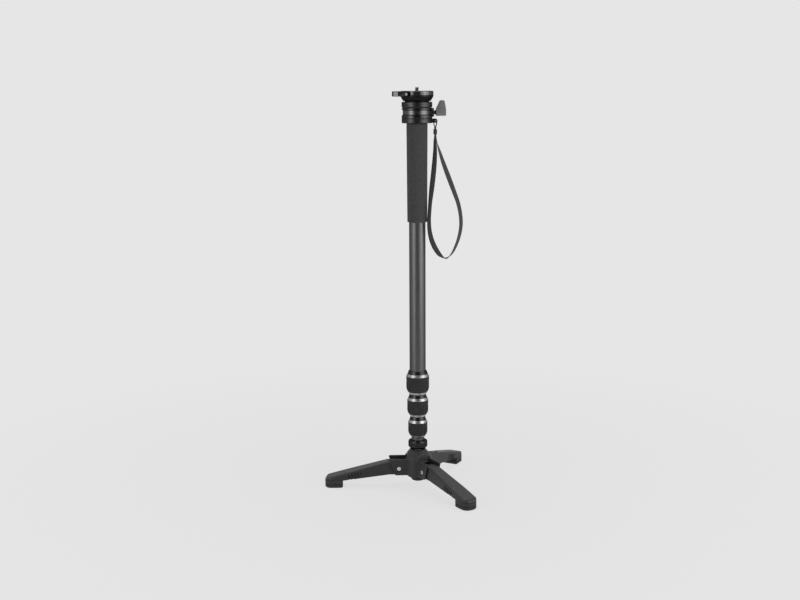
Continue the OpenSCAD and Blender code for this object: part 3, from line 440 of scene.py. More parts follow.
def steel(name, base):
    """Plain steel of pins and screws."""
    made = Finish(name, base, 0.28, 1.0)
    made.blotches(0.88, 1.08, 800, 3)
    made.edges(0.15 * MM, 1.25)
    made.paint_hollow_shade(2.4 * MM, 0.04)
    made.polish(0.22, 0.36, 900, 3)
    made.grain(0.006 * MM, 5000, 2)
    return made


def plain_plastic(name, base, roughness=0.45):
    """Smooth moulded plastic with a slight flow mottle."""
    made = Finish(name, base, roughness)
    made.blotches(0.92, 1.08, 180, 4)
    made.edges(0.3 * MM, 1.25)
    made.polish(roughness - 0.05, roughness + 0.08, 500, 3)
    made.grain(0.015 * MM, 2400, 3)
    return made


def webbing(name, base):
    """Herringbone weave that follows the strap's own map, which is in millimetres across and along it."""
    twill_pitch, warp_pitch, hem_start, hem_end = 1.3, 0.55, 4.1, 4.5
    made = Finish(name, base, 0.78)
    made.set("Specular IOR Level", 0.3)
    made.set("Sheen Weight", 0.06)
    tree = made.tree

    def calc(*values):
        return math_node(tree, *values)

    chart = put(tree, "ShaderNodeUVMap", uv_map="weave").outputs["UV"]
    axes = put(tree, "ShaderNodeSeparateXYZ", {"Vector": chart}).outputs
    across = calc("ABSOLUTE", axes["X"])
    slant = calc("ADD", across, axes["Y"])
    twill = calc("SINE", calc("MULTIPLY", slant, TURN / twill_pitch))
    warp = calc("SINE", calc("MULTIPLY", axes["X"], TURN / warp_pitch))
    yarns = calc("ADD", calc("MULTIPLY", twill, 0.7), calc("MULTIPLY", warp, 0.3))
    tone = shade(tree, spread(tree, yarns, 0, 1, -0.9, 0.9), tint(base, 0.62), tint(base, 1.3))
    fuzz = spread(tree, noise(tree, 1400, 4), 0, 0.35)
    tone = shade(tree, fuzz, tone, tint(base, 1.7))
    hem = spread(tree, across, 1, 0.75, hem_start, hem_end)
    made.paint(shade(tree, hem, tint(base, 0.7), tone))
    made.bump(0.09 * MM, yarns, 0.8)
    made.grain(0.03 * MM, 3000, 3)
    return made


# Maker of each finish, the setting of its colour and the maker's own values
FINISH_MAKERS = {
    "head_black": (black_metal, "head", 0.32, True),
    "banded_black": (black_metal, "head", 0.22, True, True),
    "plate_black": (black_metal, "plate", 0.20, True),
    "lever_black": (black_metal, "lever", 0.36),
    # Pale grey: a painted reflection on the thumb pad, and the plain colour of the lever screw
    "thumb_metal": (plain_plastic, "thumb", 0.5),
    "stud_steel": (steel, "stud"),
    "tube_grey": (tube_metal, "tube"),
    "lock_bright": (turned_metal, "lock"),
    "lock_collar": (black_metal, "collar", 0.26, True),
    "ribbed_rubber": (rubber, "sleeve"),
    "sole_rubber": (rubber, "sole", 0.66),
    "pad_rubber": (rubber, "pad", 0.8),
    "grip_foam": (foam, "foam"),
    "leg_plastic": (moulding, "moulding"),
    "pin_steel": (steel, "steel"),
    "knob_plastic": (plain_plastic, "knob"),
    "webbing": (webbing, "webbing"),
    "strap_thread": (rubber, "thread", 0.7),
    "bearing_plastic": (plain_plastic, "bearing", 0.4),
}


@functools.cache
def finish(name):
    """The finish of that name, made when it is first asked for. The frame's plain material of that name steps aside."""
    plain = bpy.data.materials.get(name)
    if plain:
        plain.name = name + "_plain"
    maker, hue, *values = FINISH_MAKERS[name]
    return maker(name, getattr(finishes(), hue), *values).material


# Meshes

def add_object(name, data):
    """A new object in the scene, at the origin."""
    made = bpy.data.objects.new(name, data)
    bpy.context.scene.collection.objects.link(made)
    return made


def make_piece(name, points, faces, material, sharp=40):
    """A piece at the origin, smooth up to an angle in degrees between its faces."""
    mesh = bpy.data.meshes.new(name)
    mesh.from_pydata([tuple(p) for p in points], [], faces)
    mesh.validate()
    piece = add_object(name, mesh)
    mesh.materials.append(finish(material))
    mesh.shade_smooth()
    mesh.set_sharp_from_angle(angle=math.radians(sharp))
    return piece


def settle(piece):
    """Applies a piece's modifiers to its mesh."""
    bpy.context.view_layer.update()
    seen = piece.evaluated_get(bpy.context.evaluated_depsgraph_get())
    mesh = bpy.data.meshes.new_from_object(seen)
    piece.modifiers.clear()
    old = piece.data
    piece.data = mesh
    mesh.name = piece.name
    bpy.data.meshes.remove(old)
    return piece


def dress(piece, body, slot, *nodes):
    """Puts a piece on its body and hides the CAD nodes that it stands for. The slot is not used."""
    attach(piece, body)
    if nodes:
        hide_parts(*nodes)


def lathe(outline, sides, dent=None, centre=None):
    """Turns an outline of (radius, height) about the mast: up the outer wall, in over the top, down the inner wall.

    An outline that begins and ends on the axis is closed there. dent(radius, height, angle) may change a point.
    """
    centre = MAST if centre is None else centre
    points = []
    rings = []
    for radius, height in outline:
        ring = []
        for side in range(sides if radius > 0 else 1):
            angle = TURN * side / sides
            r, z = dent(radius, height, angle) if dent else (radius, height)
            ring.append(len(points))
            points.append((centre.x + r * math.cos(angle), centre.y + r * math.sin(angle), z))
        rings.append(ring if radius > 0 else ring * sides)
    pairs = list(zip(rings, rings[1:]))
    if outline[0][0] > 0:
        pairs.append((rings[-1], rings[0]))
    faces = []
    for low, high in pairs:
        for side in range(sides):
            after = (side + 1) % sides
            corners = dict.fromkeys((low[side], low[after], high[after], high[side]))
            if len(corners) > 2:
                faces.append(tuple(corners))
    return points, faces


def circle(x, y, z, radius, sides):
    """Corners of a level polygon."""
    turns = [TURN * k / sides for k in range(sides)]
    return [(x + radius * math.cos(a), y + radius * math.sin(a), z) for a in turns]


def joined(*skins):
    """Several skins of points and faces as one."""
    points, faces = [], []
    for more_points, more_faces in skins:
        faces += [tuple(i + len(points) for i in face) for face in more_faces]
        points += more_points
    return points, faces


def loft(rings):
    """Closes a row of equal rings of points into a skin with flat ends."""
    sides = len(rings[0])
    points = [p for ring in rings for p in ring]
    faces = [tuple(reversed(range(sides)))]
    for k in range(len(rings) - 1):
        for side in range(sides):
            a = k * sides + side
            b = k * sides + (side + 1) % sides
            faces.append((a, b, b + sides, a + sides))
    first = (len(rings) - 1) * sides
    faces.append(tuple(range(first, first + sides)))
    return points, faces


def curve_through(knots, steps):
    """Points on a smooth curve through knots of any number of values."""
    def value(k):
        return knots[min(max(k, 0), len(knots) - 1)]
    made = []
    for k in range(len(knots) - 1):
        a, b, c, d = value(k - 1), value(k), value(k + 1), value(k + 2)
        for step in range(steps):
            t = step / steps
            made.append(tuple(
                0.5 * (2 * q + (r - p) * t + (2 * p - 5 * q + 4 * r - s) * t ** 2 + (3 * q - p - 3 * r + s) * t ** 3)
                for p, q, r, s in zip(a, b, c, d)
            ))
    made.append(tuple(float(v) for v in knots[-1]))
    return made


def flat_section(width, thick):
    """Outline of flat webbing with round edges."""
    w = width / 2
    t = thick / 2
    half = [(w - t + t * math.sin(a), t * math.cos(a)) for a in (math.radians(d) for d in range(0, 181, 30))]
    steps = [-0.75, -0.4, 0, 0.4, 0.75]
    under = [(-(w - t) * s, -t) for s in steps]
    return half + under + [(-x, -y) for x, y in half] + [(-x, -y) for x, y in under]


def sweep(name, path, flats, section, material):
    """Sweeps a section along a path, its width kept along the given headings, with a map in millimetres."""
    rings = []
    along = [0.0]
    for a, b in zip(path, path[1:]):
        along.append(along[-1] + (b - a).length)
    for k, point in enumerate(path):
        way = (path[min(k + 1, len(path) - 1)] - path[max(k - 1, 0)]).normalized()
        flat = (flats[k] - way * flats[k].dot(way)).normalized()
        side = way.cross(flat)
        rings.append([point + flat * x + side * y for x, y in section])
    points, faces = loft(rings)
    piece = make_piece(name, points, [tuple(reversed(f)) for f in faces], material)
    chart = piece.data.uv_layers.new(name="weave")
    count = len(section)
    for loop in piece.data.loops:
        across = section[loop.vertex_index % count][0]
        chart.data[loop.index].uv = (across / MM, along[loop.vertex_index // count] / MM)
    return piece


def rounded_box(name, low, high, radius, material):
    """A block with rounded edges."""
    corners = [(x, y, z) for z in (low.z, high.z) for x, y in (
        (low.x, low.y), (high.x, low.y), (high.x, high.y), (low.x, high.y))]
    sides = [(0, 3, 2, 1), (4, 5, 6, 7), (0, 1, 5, 4), (1, 2, 6, 5), (2, 3, 7, 6), (3, 0, 4, 7)]
    piece = make_piece(name, corners, sides, material)
    bevel = piece.modifiers.new("round", "BEVEL")
    bevel.width = radius
    bevel.segments = 4
    return settle(piece)


# Geometry Nodes

def new_tree(name, **kinds):
    """A Geometry Nodes tree with a count, a material and more inputs; returns it, its inputs and their identifiers."""
    tree = bpy.data.node_groups.new(name, "GeometryNodeTree")
    tree.interface.new_socket("Geometry", in_out="INPUT", socket_type="NodeSocketGeometry")
    tree.interface.new_socket("Geometry", in_out="OUTPUT", socket_type="NodeSocketGeometry")
    names = {}
    for label, kind in {"Count": "Int", "Material": "Material", **kinds}.items():
        names[label] = tree.interface.new_socket(label, in_out="INPUT", socket_type="NodeSocket" + kind).identifier
    return tree, put(tree, "NodeGroupInput").outputs, names


def close_tree(tree, geometry, given):
    """Ends a tree in real geometry with its material."""
    real = put(tree, "GeometryNodeRealizeInstances", {"Geometry": geometry}).outputs["Geometry"]
    done = put(tree, "GeometryNodeSetMaterial", {"Geometry": real, "Material": given["Material"]}).outputs["Geometry"]
    put(tree, "NodeGroupOutput", {"Geometry": done})


@functools.cache
def row_round_tree():
    """Repeats a form round an upright axis and joins it to a core."""
    tree, given, names = new_tree("row_round", Axis="Vector", Core="Object")
    points = put(tree, "GeometryNodePoints", {"Count": given["Count"], "Position": given["Axis"]}).outputs[0]
    index = put(tree, "GeometryNodeInputIndex").outputs[0]
    angle = math_node(tree, "MULTIPLY", math_node(tree, "DIVIDE", index, given["Count"]), TURN)
    heading = put(tree, "ShaderNodeCombineXYZ", {"Z": angle}).outputs[0]
    row = put(tree, "GeometryNodeInstanceOnPoints", {
        "Points": points, "Instance": given["Geometry"], "Rotation": heading
    }).outputs[0]
    core = put(tree, "GeometryNodeObjectInfo", {"Object": given["Core"]}).outputs["Geometry"]
    both = put(tree, "GeometryNodeJoinGeometry")
    tree.links.new(core, both.inputs[0])
    tree.links.new(row, both.inputs[0])
    close_tree(tree, both.outputs[0], given)
    return tree, names


@functools.cache
def row_along_tree():
    """Repeats a form in a straight row."""
    tree, given, names = new_tree("row_along", Start="Vector", Step="Vector")
    line = put(tree, "GeometryNodeMeshLine", {
        "Count": given["Count"], "Start Location": given["Start"], "Offset": given["Step"]
    }, mode="OFFSET").outputs[0]
    row = put(tree, "GeometryNodeInstanceOnPoints", {"Points": line, "Instance": given["Geometry"]}).outputs[0]
    close_tree(tree, row, given)
    return tree, names


def grow(piece, tree_maker, **values):
    """Runs a tree on a piece and keeps the result as its mesh."""
    tree, names = tree_maker()
    modifier = piece.modifiers.new(tree.name, "NODES")
    modifier.node_group = tree
    for label, value in values.items():
        modifier[names[label]] = value
    return settle(piece)


def grow_round(name, form, core, count, material):
    """A core and a form repeated round the mast, as one piece."""
    piece = make_piece(name, *form, material)
    grow(piece, row_round_tree, Count=count, Axis=MAST, Core=core, Material=finish(material))
    bpy.data.objects.remove(core)
    return piece


def grow_along(name, form, count, start, step, material):
    """A form repeated in a straight row, as one piece."""
    piece = make_piece(name, *form, material)
    return grow(piece, row_along_tree, Count=count, Start=start, Step=step, Material=finish(material))


# Stage

class MONOPOD_OT_stage(bpy.types.Operator):
    """Set up the floor, the light and the camera"""
    bl_idname = "monopod.stage"
    bl_label = "Stage"

    def execute(self, context):
        scene = context.scene
        scene.view_settings.view_transform = "Standard"
        self.world(scene)
        self.floor()
        self.black_card()
        self.lights()
        self.camera(scene)
        return {"FINISHED"}

    def seen(self, tree):
        """1 where a ray shows the background itself or its reflection."""
        path = put(tree, "ShaderNodeLightPath").outputs
        straight = math_node(tree, "MAXIMUM", path["Is Camera Ray"], path["Is Glossy Ray"])
        return math_node(tree, "MAXIMUM", straight, path["Is Transmission Ray"])

    def world(self, scene):
        """A room that looks pale and lights little."""
        world = bpy.data.worlds.new("studio_room")
        world.use_nodes = True
        tree = world.node_tree
        back = tree.nodes["Background"].inputs
        back["Color"].default_value = (1, 1, 1, 1)
        feed(tree, back["Strength"], spread(tree, self.seen(tree), studio().fill, finishes().ground[0], 0, 1))
        scene.world = world

    def sheet(self, name, corners, material):
        """A flat piece of the stage."""
        mesh = bpy.data.meshes.new(name)
        mesh.from_pydata(corners, [], [tuple(range(len(corners)))])
        mesh.materials.append(material)
        made = add_object(name, mesh)
        return made

    def floor(self):
        """A floor in the room's own tone, which keeps a share of the shadow near the mast."""
        material = bpy.data.materials.new("studio_floor")
        material.use_nodes = True
        tree = material.node_tree
        tree.nodes.clear()
        ground = tint(finishes().ground, 1)
        paint = put(tree, "ShaderNodeBsdfDiffuse", {"Color": ground}).outputs[0]
        glow = put(tree, "ShaderNodeEmission", {"Color": ground}).outputs[0]
        near, far = 0.15, 1.0
        kept = spread(tree, from_mast(tree, object_point(tree)), studio().shadow, 0, near, far)
        factor = math_node(tree, "MULTIPLY", self.seen(tree), math_node(tree, "SUBTRACT", 1.0, kept))
        both = put(tree, "ShaderNodeMixShader", {0: factor, 1: paint, 2: glow}).outputs[0]
        put(tree, "ShaderNodeOutputMaterial", {"Surface": both})
        reach, drop, sides = 8.0, -0.0004, 96
        self.sheet("studio_floor", circle(MAST.x, MAST.y, drop, reach, sides), material)

    def headings(self):
        """The level directions ahead of the camera and to its right."""
        yaw = studio().yaw
        return Vector((math.sin(yaw), math.cos(yaw), 0)), Vector((math.cos(yaw), -math.sin(yaw), 0))

    def black_card(self):
        """A card behind the camera, whose dark reflection parts the highlights on the round metal parts."""
        behind, tall = 0.35, 2.2
        ahead, right = self.headings()
        side = right * (0.5 * studio().card)
        foot = MAST - ahead * (studio().distance + behind)
        top = foot + Vector((0, 0, tall))
        paper = Finish("black_card", (0.012, 0.012, 0.012), 0.95)
        paper.set("Specular IOR Level", 0.1)
        card = self.sheet("black_card", [top - side, top + side, foot + side, foot - side], paper.material)
        card.visible_camera = False

    def lights(self):
        """Softboxes with a brighter strip in two of them."""
        s = studio()
        # Name, power, turn from the camera in degrees, distance, height, height aimed at, width and length
        boxes = (
            ("left_softbox", s.left_light, 50, 1.7, 0.6, 0.4, 1.15, 1.25),
            ("left_strip", s.strip_light, 50, 1.65, 0.6, 0.4, 0.22, 1.25),
            ("right_softbox", s.right_light, -60, 1.7, 0.6, 0.4, 1.75, 1.25),
            ("right_strip", s.strip_light, -58, 1.65, 0.6, 0.4, 0.30, 1.25),
            ("top_softbox", s.top_light, 170, 0.6, 2.2, 0, 1.4, 1.2),
        )
        for name, power, turn, away, height, aim, wide, tall in boxes:
            lamp = bpy.data.lights.new(name, "AREA")
            lamp.shape = "RECTANGLE"
            lamp.size = wide
            lamp.size_y = tall
            lamp.energy = power
            heading = s.yaw + math.radians(turn)
            place = MAST + Vector((-away * math.sin(heading), -away * math.cos(heading), height))
            target = MAST + Vector((0, 0, aim))
            light = add_object(name, lamp)
            light.location = place
            light.rotation_euler = (target - place).to_track_quat("-Z", "Y").to_euler()

    def camera(self, scene):
        """The camera of the main view."""
        s = studio()
        ahead, right = self.headings()
        look = ahead * math.cos(s.pitch) - Vector((0, 0, math.sin(s.pitch)))
        up = right.cross(look)
        turn = Matrix.Rotation(s.roll, 3, look)
        right, up = turn @ right, turn @ up
        lens = bpy.data.cameras.new("studio_camera")
        lens.sensor_width = 36
        lens.lens = s.lens
        lens.clip_start = 0.01
        camera = add_object("studio_camera", lens)
        place = MAST - ahead * s.distance - right * s.aside + Vector((0, 0, s.height))
        axes = Matrix((right, up, -look)).transposed().to_4x4()
        camera.matrix_world = Matrix.Translation(place) @ axes
        scene.camera = camera


# Pieces

class MONOPOD_OT_wrist_strap(bpy.types.Operator):
    """Hang the webbing loop with its tab, keeper and stitches"""
    bl_idname = "monopod.wrist_strap"
    bl_label = "Wrist Strap"

    def execute(self, context):
        d = details()
        bar = middle("strap_bar")
        section = flat_section(d.strap_width, d.strap_thick)
        knots = curve_through(STRAP_ROUTE, 7)
        path = [Vector((bar.x + x * MM, MAST.y + y * MM, bar.z + z * MM)) for x, y, z, _ in knots]
        flats = [Vector((math.cos(math.radians(a)), math.sin(math.radians(a)), 0)) for _, _, _, a in knots]
        loop = sweep("wrist_strap_loop", path, flats, section, "webbing")
        tab = self.tab(bar, section)
        keeper = self.keeper()
        stitches = self.stitches()
        dress(loop, "main_column", "webbing", "wrist_strap")
        dress(tab, "main_column", "webbing", "strap_tab")
        dress(keeper, "main_column", "webbing", "strap_crimp")
        dress(stitches, "main_column", "webbing")
        return {"FINISHED"}

    def tab(self, bar, section):
        """Webbing that goes up from the keeper, over the bar and down again."""
        d = details()
        sunk, gap = 1 * MM, 0.12 * MM
        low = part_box("strap_crimp")[1].z - sunk
        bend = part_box("strap_tab")[1].z - bar.z - d.strap_thick / 2
        foot = 0.5 * d.strap_thick + gap
        # The half beside the bar, from the keeper up
        line = [(-foot, low - bar.z), (-foot - 0.1 * MM, -10.6 * MM), (-1.4 * MM, -8.2 * MM)]
        line += [(-2.2 * MM, -5.2 * MM), (-2.3 * MM, -2.2 * MM)]
        arc = [math.pi * k / 12 for k in range(1, 12)]
        line += [(-bend * math.cos(a), bend * math.sin(a)) for a in arc] + [(-x, z) for x, z in reversed(line)]
        knots = curve_through(line, 4)
        path = [Vector((bar.x + x, bar.y, bar.z + z)) for x, z in knots]
        return sweep("strap_tab_loop", path, [Vector((0, 1, 0))] * len(path), section, "webbing")

    def keeper_box(self):
        """Corners of the moulded keeper, whose walls are thicker than the crimp's."""
        low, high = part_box("strap_crimp")
        wall = Vector((details().keeper_wall, 0, 0))
        return low - wall, high + wall

    def keeper(self):
        """The moulded keeper that holds both ends of the loop."""
        low, high = self.keeper_box()
        return rounded_box("strap_keeper", low, high, 1.1 * MM, "sole_rubber")

    def stitches(self):
        """Rows of stitches down both faces of the keeper."""
        long = details().stitch
        low, high = self.keeper_box()
        half, inset, spacing, margin = 0.22 * MM, 2.2 * MM, 1.35, 2 * MM
        swells = [(t, half * math.sqrt(max(1 - t * t, 0.12))) for t in (-1, -0.5, 0, 0.5, 1)]
        form = joined(*(
            loft([circle(x, y, t * long / 2, swell, 6) for t, swell in swells])
            for x in (low.x, high.x) for y in (low.y + inset, high.y - inset)
        ))
        step = long * spacing
        count = int((high.z - low.z - margin) / step)
        start = Vector((0, 0, 0.5 * (low.z + high.z) - 0.5 * step * (count - 1)))
        return grow_along("strap_stitches", form, count, start, Vector((0, 0, step)), "strap_thread")


class MONOPOD_OT_grip(bpy.types.Operator):
    """Make the foam grip with its soft ends"""
    bl_idname = "monopod.grip"
    bl_label = "Grip"

    def execute(self, context):
        d = details()
        low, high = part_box("grip")
        top = half_width("grip")
        foot = top - d.grip_taper
        bore = top - d.grip_wall
        lip = d.grip_lip
        rings, sides = 110, 144
        # Waves round the grip, their run along it and where they start
        waves = ((9, 310, 0), (14, -520, 1.7), (23, 860, 0.6))
        arc = [math.radians(a) for a in range(0, 91, 15)]
        outline = [(foot - lip + lip * math.sin(a), low.z + lip - lip * math.cos(a)) for a in arc]
        for k in range(1, rings):
            t = k / rings
            outline.append((foot + (top - foot) * t, low.z + lip + (high.z - low.z - 2 * lip) * t))
        outline += [(top - lip + lip * math.cos(a), high.z - lip + lip * math.sin(a)) for a in arc]
        outline += [(bore, high.z), (bore, low.z)]

        def dents(radius, height, angle):
            if radius < foot - lip:
                return radius, height
            wave = sum(math.sin(turns * angle + run * height + start) for turns, run, start in waves)
            return radius - d.foam_dent * (3 + wave) / 6, height

        piece = make_piece("foam_grip", *lathe(outline, sides, dents), "grip_foam")
        dress(piece, "main_column", "grip_foam", "grip")
        return {"FINISHED"}


class MONOPOD_OT_lock_sleeves(bpy.types.Operator):
    """Make the ribbed rubber sleeves of the twist locks"""
    bl_idname = "monopod.lock_sleeves"
    bl_label = "Lock Sleeves"

    def execute(self, context):
        for lock in LOCKS:
            self.sleeve(lock)
        return {"FINISHED"}

    def sleeve(self, lock):
        """One lock's sleeve: a grooved core with a row of ribs round it."""
        d = details()
        low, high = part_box(f"lock_sleeve_{lock}")
        outer = half_width(f"lock_sleeve_{lock}")
        bore = outer - d.sleeve_wall
        root = outer - d.rib_height
        tall = high.z - low.z
        foot = 0.28 * tall
        band = low.z + 0.66 * tall
        lip = bore + 0.5 * MM

        def side(radius):
            """The wall up to the band, rounded in at the foot."""
            steps = ((0, 0), (0.2, 0.1), (0.42, 0.25), (0.6, 0.42), (0.76, 0.6), (0.9, 0.8), (1, 1))
            return [(lip + (radius - lip) * out, low.z + foot * up) for out, up in steps]

        outline = [(bore, low.z)] + side(root) + [(root, band), (outer - 0.12 * MM, band + 0.45 * MM)]
        groove = 0.45 * MM
        for share in (0.74, 0.82, 0.90):
            z = low.z + share * tall
            corners = ((0, -0.12), (groove, 0.08), (groove, 0.45), (0, 0.65))
            outline += [(outer - depth, z + rise * MM) for depth, rise in corners]
        outline += [
            (outer, high.z - 0.6 * MM), (outer - 0.2 * MM, high.z - 0.2 * MM), (outer - 0.6 * MM, high.z),
            (bore, high.z),
        ]
        core = make_piece(f"sleeve_core_{lock}", *lathe(outline, 144), "ribbed_rubber")
        half = 0.27 * TURN * outer / d.ribs
        shoulder = 0.35 * d.rib_height
        sunk = 0.25 * MM
        rings = []
        for radius, z in side(outer)[2:] + [(outer, band - 0.2 * MM), (outer - 0.3 * MM, band + 0.25 * MM)]:
            inner = max(radius - d.rib_height - sunk, lip)
            rings.append([
                (inner, -half, z), (radius - shoulder, -0.8 * half, z), (radius, -0.3 * half, z),
                (radius, 0.3 * half, z), (radius - shoulder, 0.8 * half, z), (inner, half, z),
            ])
        piece = grow_round(f"ribbed_sleeve_{lock}", loft(rings), core, d.ribs, "ribbed_rubber")
        dress(piece, f"lock_{lock}", "ribbed_rubber", f"lock_sleeve_{lock}")


class MONOPOD_OT_camera_screw(bpy.types.Operator):
    """Cut the camera screw's thread"""
    bl_idname = "monopod.camera_screw"
    bl_label = "Camera Screw"

    def execute(self, context):
        d = details()
        low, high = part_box("camera_screw")
        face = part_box("plate_pad")[1].z
        head_r = half_width("camera_screw")
        head_top = low.z + 4.4 * MM
        foot_edge, top_edge = 0.5 * MM, 0.4 * MM
        crest = 3.175 * MM
        neck = crest - 0.4 * MM
        start = face + 0.3 * MM
        end = high.z - 0.6 * MM
        rings = 70
        outline = [(0, low.z), (head_r - foot_edge, low.z), (head_r, low.z + foot_edge), (head_r, head_top - top_edge)]
        outline += [(head_r - top_edge, head_top), (neck, head_top), (neck, face)]
        outline += [(crest, start + (end - start) * k / rings) for k in range(rings + 1)]
        outline += [(crest - 0.62 * MM, high.z), (0, high.z)]

        def thread(radius, height, angle):
            if abs(radius - crest) > 1e-7:
                return radius, height
            turn = (height / d.thread_pitch - angle / TURN) % 1
            flank = min(max(abs(2 * turn - 1) * 1.25 - 0.12, 0), 1)
            run = min((height - start) / (0.4 * MM), 1)
            return radius - d.thread_depth * (1 - (1 - flank) * run), height

        piece = make_piece("threaded_screw", *lathe(outline, 64, thread), "stud_steel", 50)
        dress(piece, "camera_stud", "pin_steel", "camera_screw")
        return {"FINISHED"}


class MONOPOD_OT_clamp_lever(bpy.types.Operator):
    """Make the plate clamp's lever with its reeded thumb pad"""
    bl_idname = "monopod.clamp_lever"
    bl_label = "Clamp Lever"

    def execute(self, context):
        low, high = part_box("clamp_lever")
        gap, thick, soft = 0.4 * MM, 4 * MM, 0.4 * MM
        back = half_width("camera_plate") + gap
        front = back + thick
        bottom, top = low.z + 0.3 * MM, high.z + 1 * MM
        end, arm_round, pad_round = -29 * MM, 1.6 * MM, 1 * MM
        # Depth of each ring, its inset and where it ends behind the screw
        arm = [
            self.ring(depth, (end + inset, tail - inset), (bottom + inset, top - inset), arm_round)
            for depth, inset, tail in (
                (back, soft, 2.2 * MM), (back + soft, 0, 2 * MM), (front - soft, 0, 2.9 * MM), (front, soft, 2.9 * MM))
        ]
        start, stop, rim = -25.6 * MM, -15.9 * MM, 0.2 * MM
        pad = [
            self.ring(depth, (start + inset, stop - inset), (bottom + soft + inset, top - soft - inset), pad_round)
            for depth, inset in ((front - soft, 0), (front + 3 * rim, 0), (front + 4 * rim, rim))
        ]
        lever = make_piece("clamp_lever_arm", *joined(loft(arm), loft(pad)), "lever_black")
        dress(lever, "plate_lever", "head_black", "clamp_lever")
        face, margin = front + 0.75 * MM, 0.7 * MM
        reeds = self.reeds(face, 0.5 * (bottom + top), 0.5 * (top - bottom) - margin)
        dress(reeds, "plate_lever", "head_black")
        return {"FINISHED"}

    def place(self, depth, run, z):
        """A point by its distance from the mast, its run along the lever from the screw, and its height."""
        c, s = math.cos(LEVER_TURN), math.sin(LEVER_TURN)
        return MAST + Vector((depth * c - run * s, depth * s + run * c, z))

    def ring(self, depth, runs, heights, radius):
        """Rounded outline of the lever at one depth."""
        quarter = math.pi / 2
        corners = (
            (runs[1] - radius, heights[0] + radius, -quarter), (runs[1] - radius, heights[1] - radius, 0),
            (runs[0] + radius, heights[1] - radius, quarter), (runs[0] + radius, heights[0] + radius, 2 * quarter),
        )
        return [
            self.place(depth, x + radius * math.cos(a + quarter * k / 6), z + radius * math.sin(a + quarter * k / 6))
            for x, z, a in corners for k in range(7)
        ]

    def reeds(self, face, height, tall):
        """Row of upright ribs on the thumb pad."""
        count, pitch, half = 8, 1.12 * MM, 0.47 * MM
        first = -24.7 * MM
        section = [(half * math.cos(a), 0.5 * half * math.sin(a)) for a in (math.pi * k / 8 for k in range(8, -1, -1))]
        shares = ((-1, 0.4), (-0.93, 0.85), (-0.8, 1), (0.8, 1), (0.93, 0.85), (1, 0.4))
        rings = [[self.place(y * share, x, tall * z) - MAST for x, y in section] for z, share in shares]
        start = self.place(face, first, height)
        step = self.place(0, pitch, 0) - MAST
        # The ribs take the pale grey that is painted as a softbox's reflection
        return grow_along("thumb_pad", loft(rings), count, start, step, "thumb_metal")


class MONOPOD_OT_plate_pad(bpy.types.Operator):
    """Make the ridged rubber pad on the camera plate"""
    bl_idname = "monopod.plate_pad"
    bl_label = "Plate Pad"

    def execute(self, context):
        pitch = details().pad_ridge
        low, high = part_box("plate_pad")
        outer, inner = half_width("plate_pad"), 9.5 * MM
        margin, edge, cut = 0.5 * MM, 0.2 * MM, 0.35 * MM
        count = int((outer - inner - 2 * margin) / pitch)
        outline = [(outer, low.z), (outer, high.z - edge), (outer - edge, high.z)]
        for k in range(count):
            r = outer - margin - k * pitch
            corners = ((0.30, 0), (0.42, cut), (0.68, cut), (0.80, 0))
            outline += [(r - share * pitch, high.z - depth) for share, depth in corners]
        outline += [(inner + edge, high.z), (inner, high.z - edge), (inner, low.z)]
        piece = make_piece("ridged_pad", *lathe(outline, 128), "pad_rubber", 30)
        dress(piece, "quick_plate", "pad_rubber", "plate_pad")
        return {"FINISHED"}


class MONOPOD_OT_pan_knob(bpy.types.Operator):
    """Mould the wing knob of the pan brake"""
    bl_idname = "monopod.pan_knob"
    bl_label = "Pan Knob"

    def execute(self, context):
        low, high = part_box("pan_knob")
        axis = middle("knob_screw")
        hub = 0.5 * (high.y - low.y)
        rise = high.z - axis.z
        x0 = high.x - 17 * MM
        # Place along the axis in millimetres, and the wing's share of its full rise
        profile = (
            (0.0, 0.30), (0.3, 0.32), (1.5, 0.448), (3.0, 0.608), (4.5, 0.768), (5.6, 0.885), (6.1, 0.945), (6.4, 0.98),
            (6.9, 1.0), (9.0, 1.0), (12.0, 1.0), (13.8, 1.0), (14.2, 0.975), (14.9, 0.88), (15.6, 0.72), (16.3, 0.55),
            (16.7, 0.40), (17.0, 0.295),
        )
        rings = []
        last = len(profile) - 1
        for k, (x, share) in enumerate(profile):
            inset = 0.45 * MM if k in (0, last) else 0.0
            rings.append(self.ring(x0 + x * MM, axis, hub - inset, max(share * rise, hub) - inset, inset))
        wing = make_piece("wing_knob", *loft(rings), "knob_plastic", 46)
        foot, top, wide, edge = low.x - x0, 0.4 * MM, 3.6 * MM, 0.3 * MM
        collar = [(0, foot), (wide - edge, foot), (wide, foot + edge), (wide, top), (0, top)]
        points, faces = lathe(collar, 40, centre=Vector())
        points = [(x0 + z, axis.y + y, axis.z - x) for x, y, z in points]
        neck = make_piece("knob_neck", points, faces, "lever_black")
        for piece in (wing, neck):
            dress(piece, "pan_brake", "knob_plastic")
        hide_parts("pan_knob")
        return {"FINISHED"}

    def ring(self, x, axis, hub, tip, inset):
        """Section of the knob at one place along its axis: a round hub with a wing blended into it."""
        half = details().wing_thick / 2 - inset
        tip_half = half * 0.84
        blend = math.radians(34)
        right = []
        for k in range(11):
            a = math.pi - (math.pi - blend) * k / 10
            right.append((hub * math.sin(a), hub * math.cos(a)))
        y0, z0 = right[-1]
        reach = max(tip - z0, 0.2 * MM)
        for t in (0.06, 0.14, 0.25, 0.4, 0.6, 0.78, 0.9):
            pull = math.exp(-t * 9)
            wide = half + (tip_half - half) * t
            right.append((wide + (y0 - wide) * pull, z0 + reach * t))
        right += [(tip_half * 0.93, z0 + reach * 0.965), (tip_half * 0.6, z0 + reach * 0.995), (0, z0 + reach)]
        outline = right + [(-y, z) for y, z in reversed(right[1:-1])]
        return [(x, axis.y + y, axis.z + z) for y, z in outline]


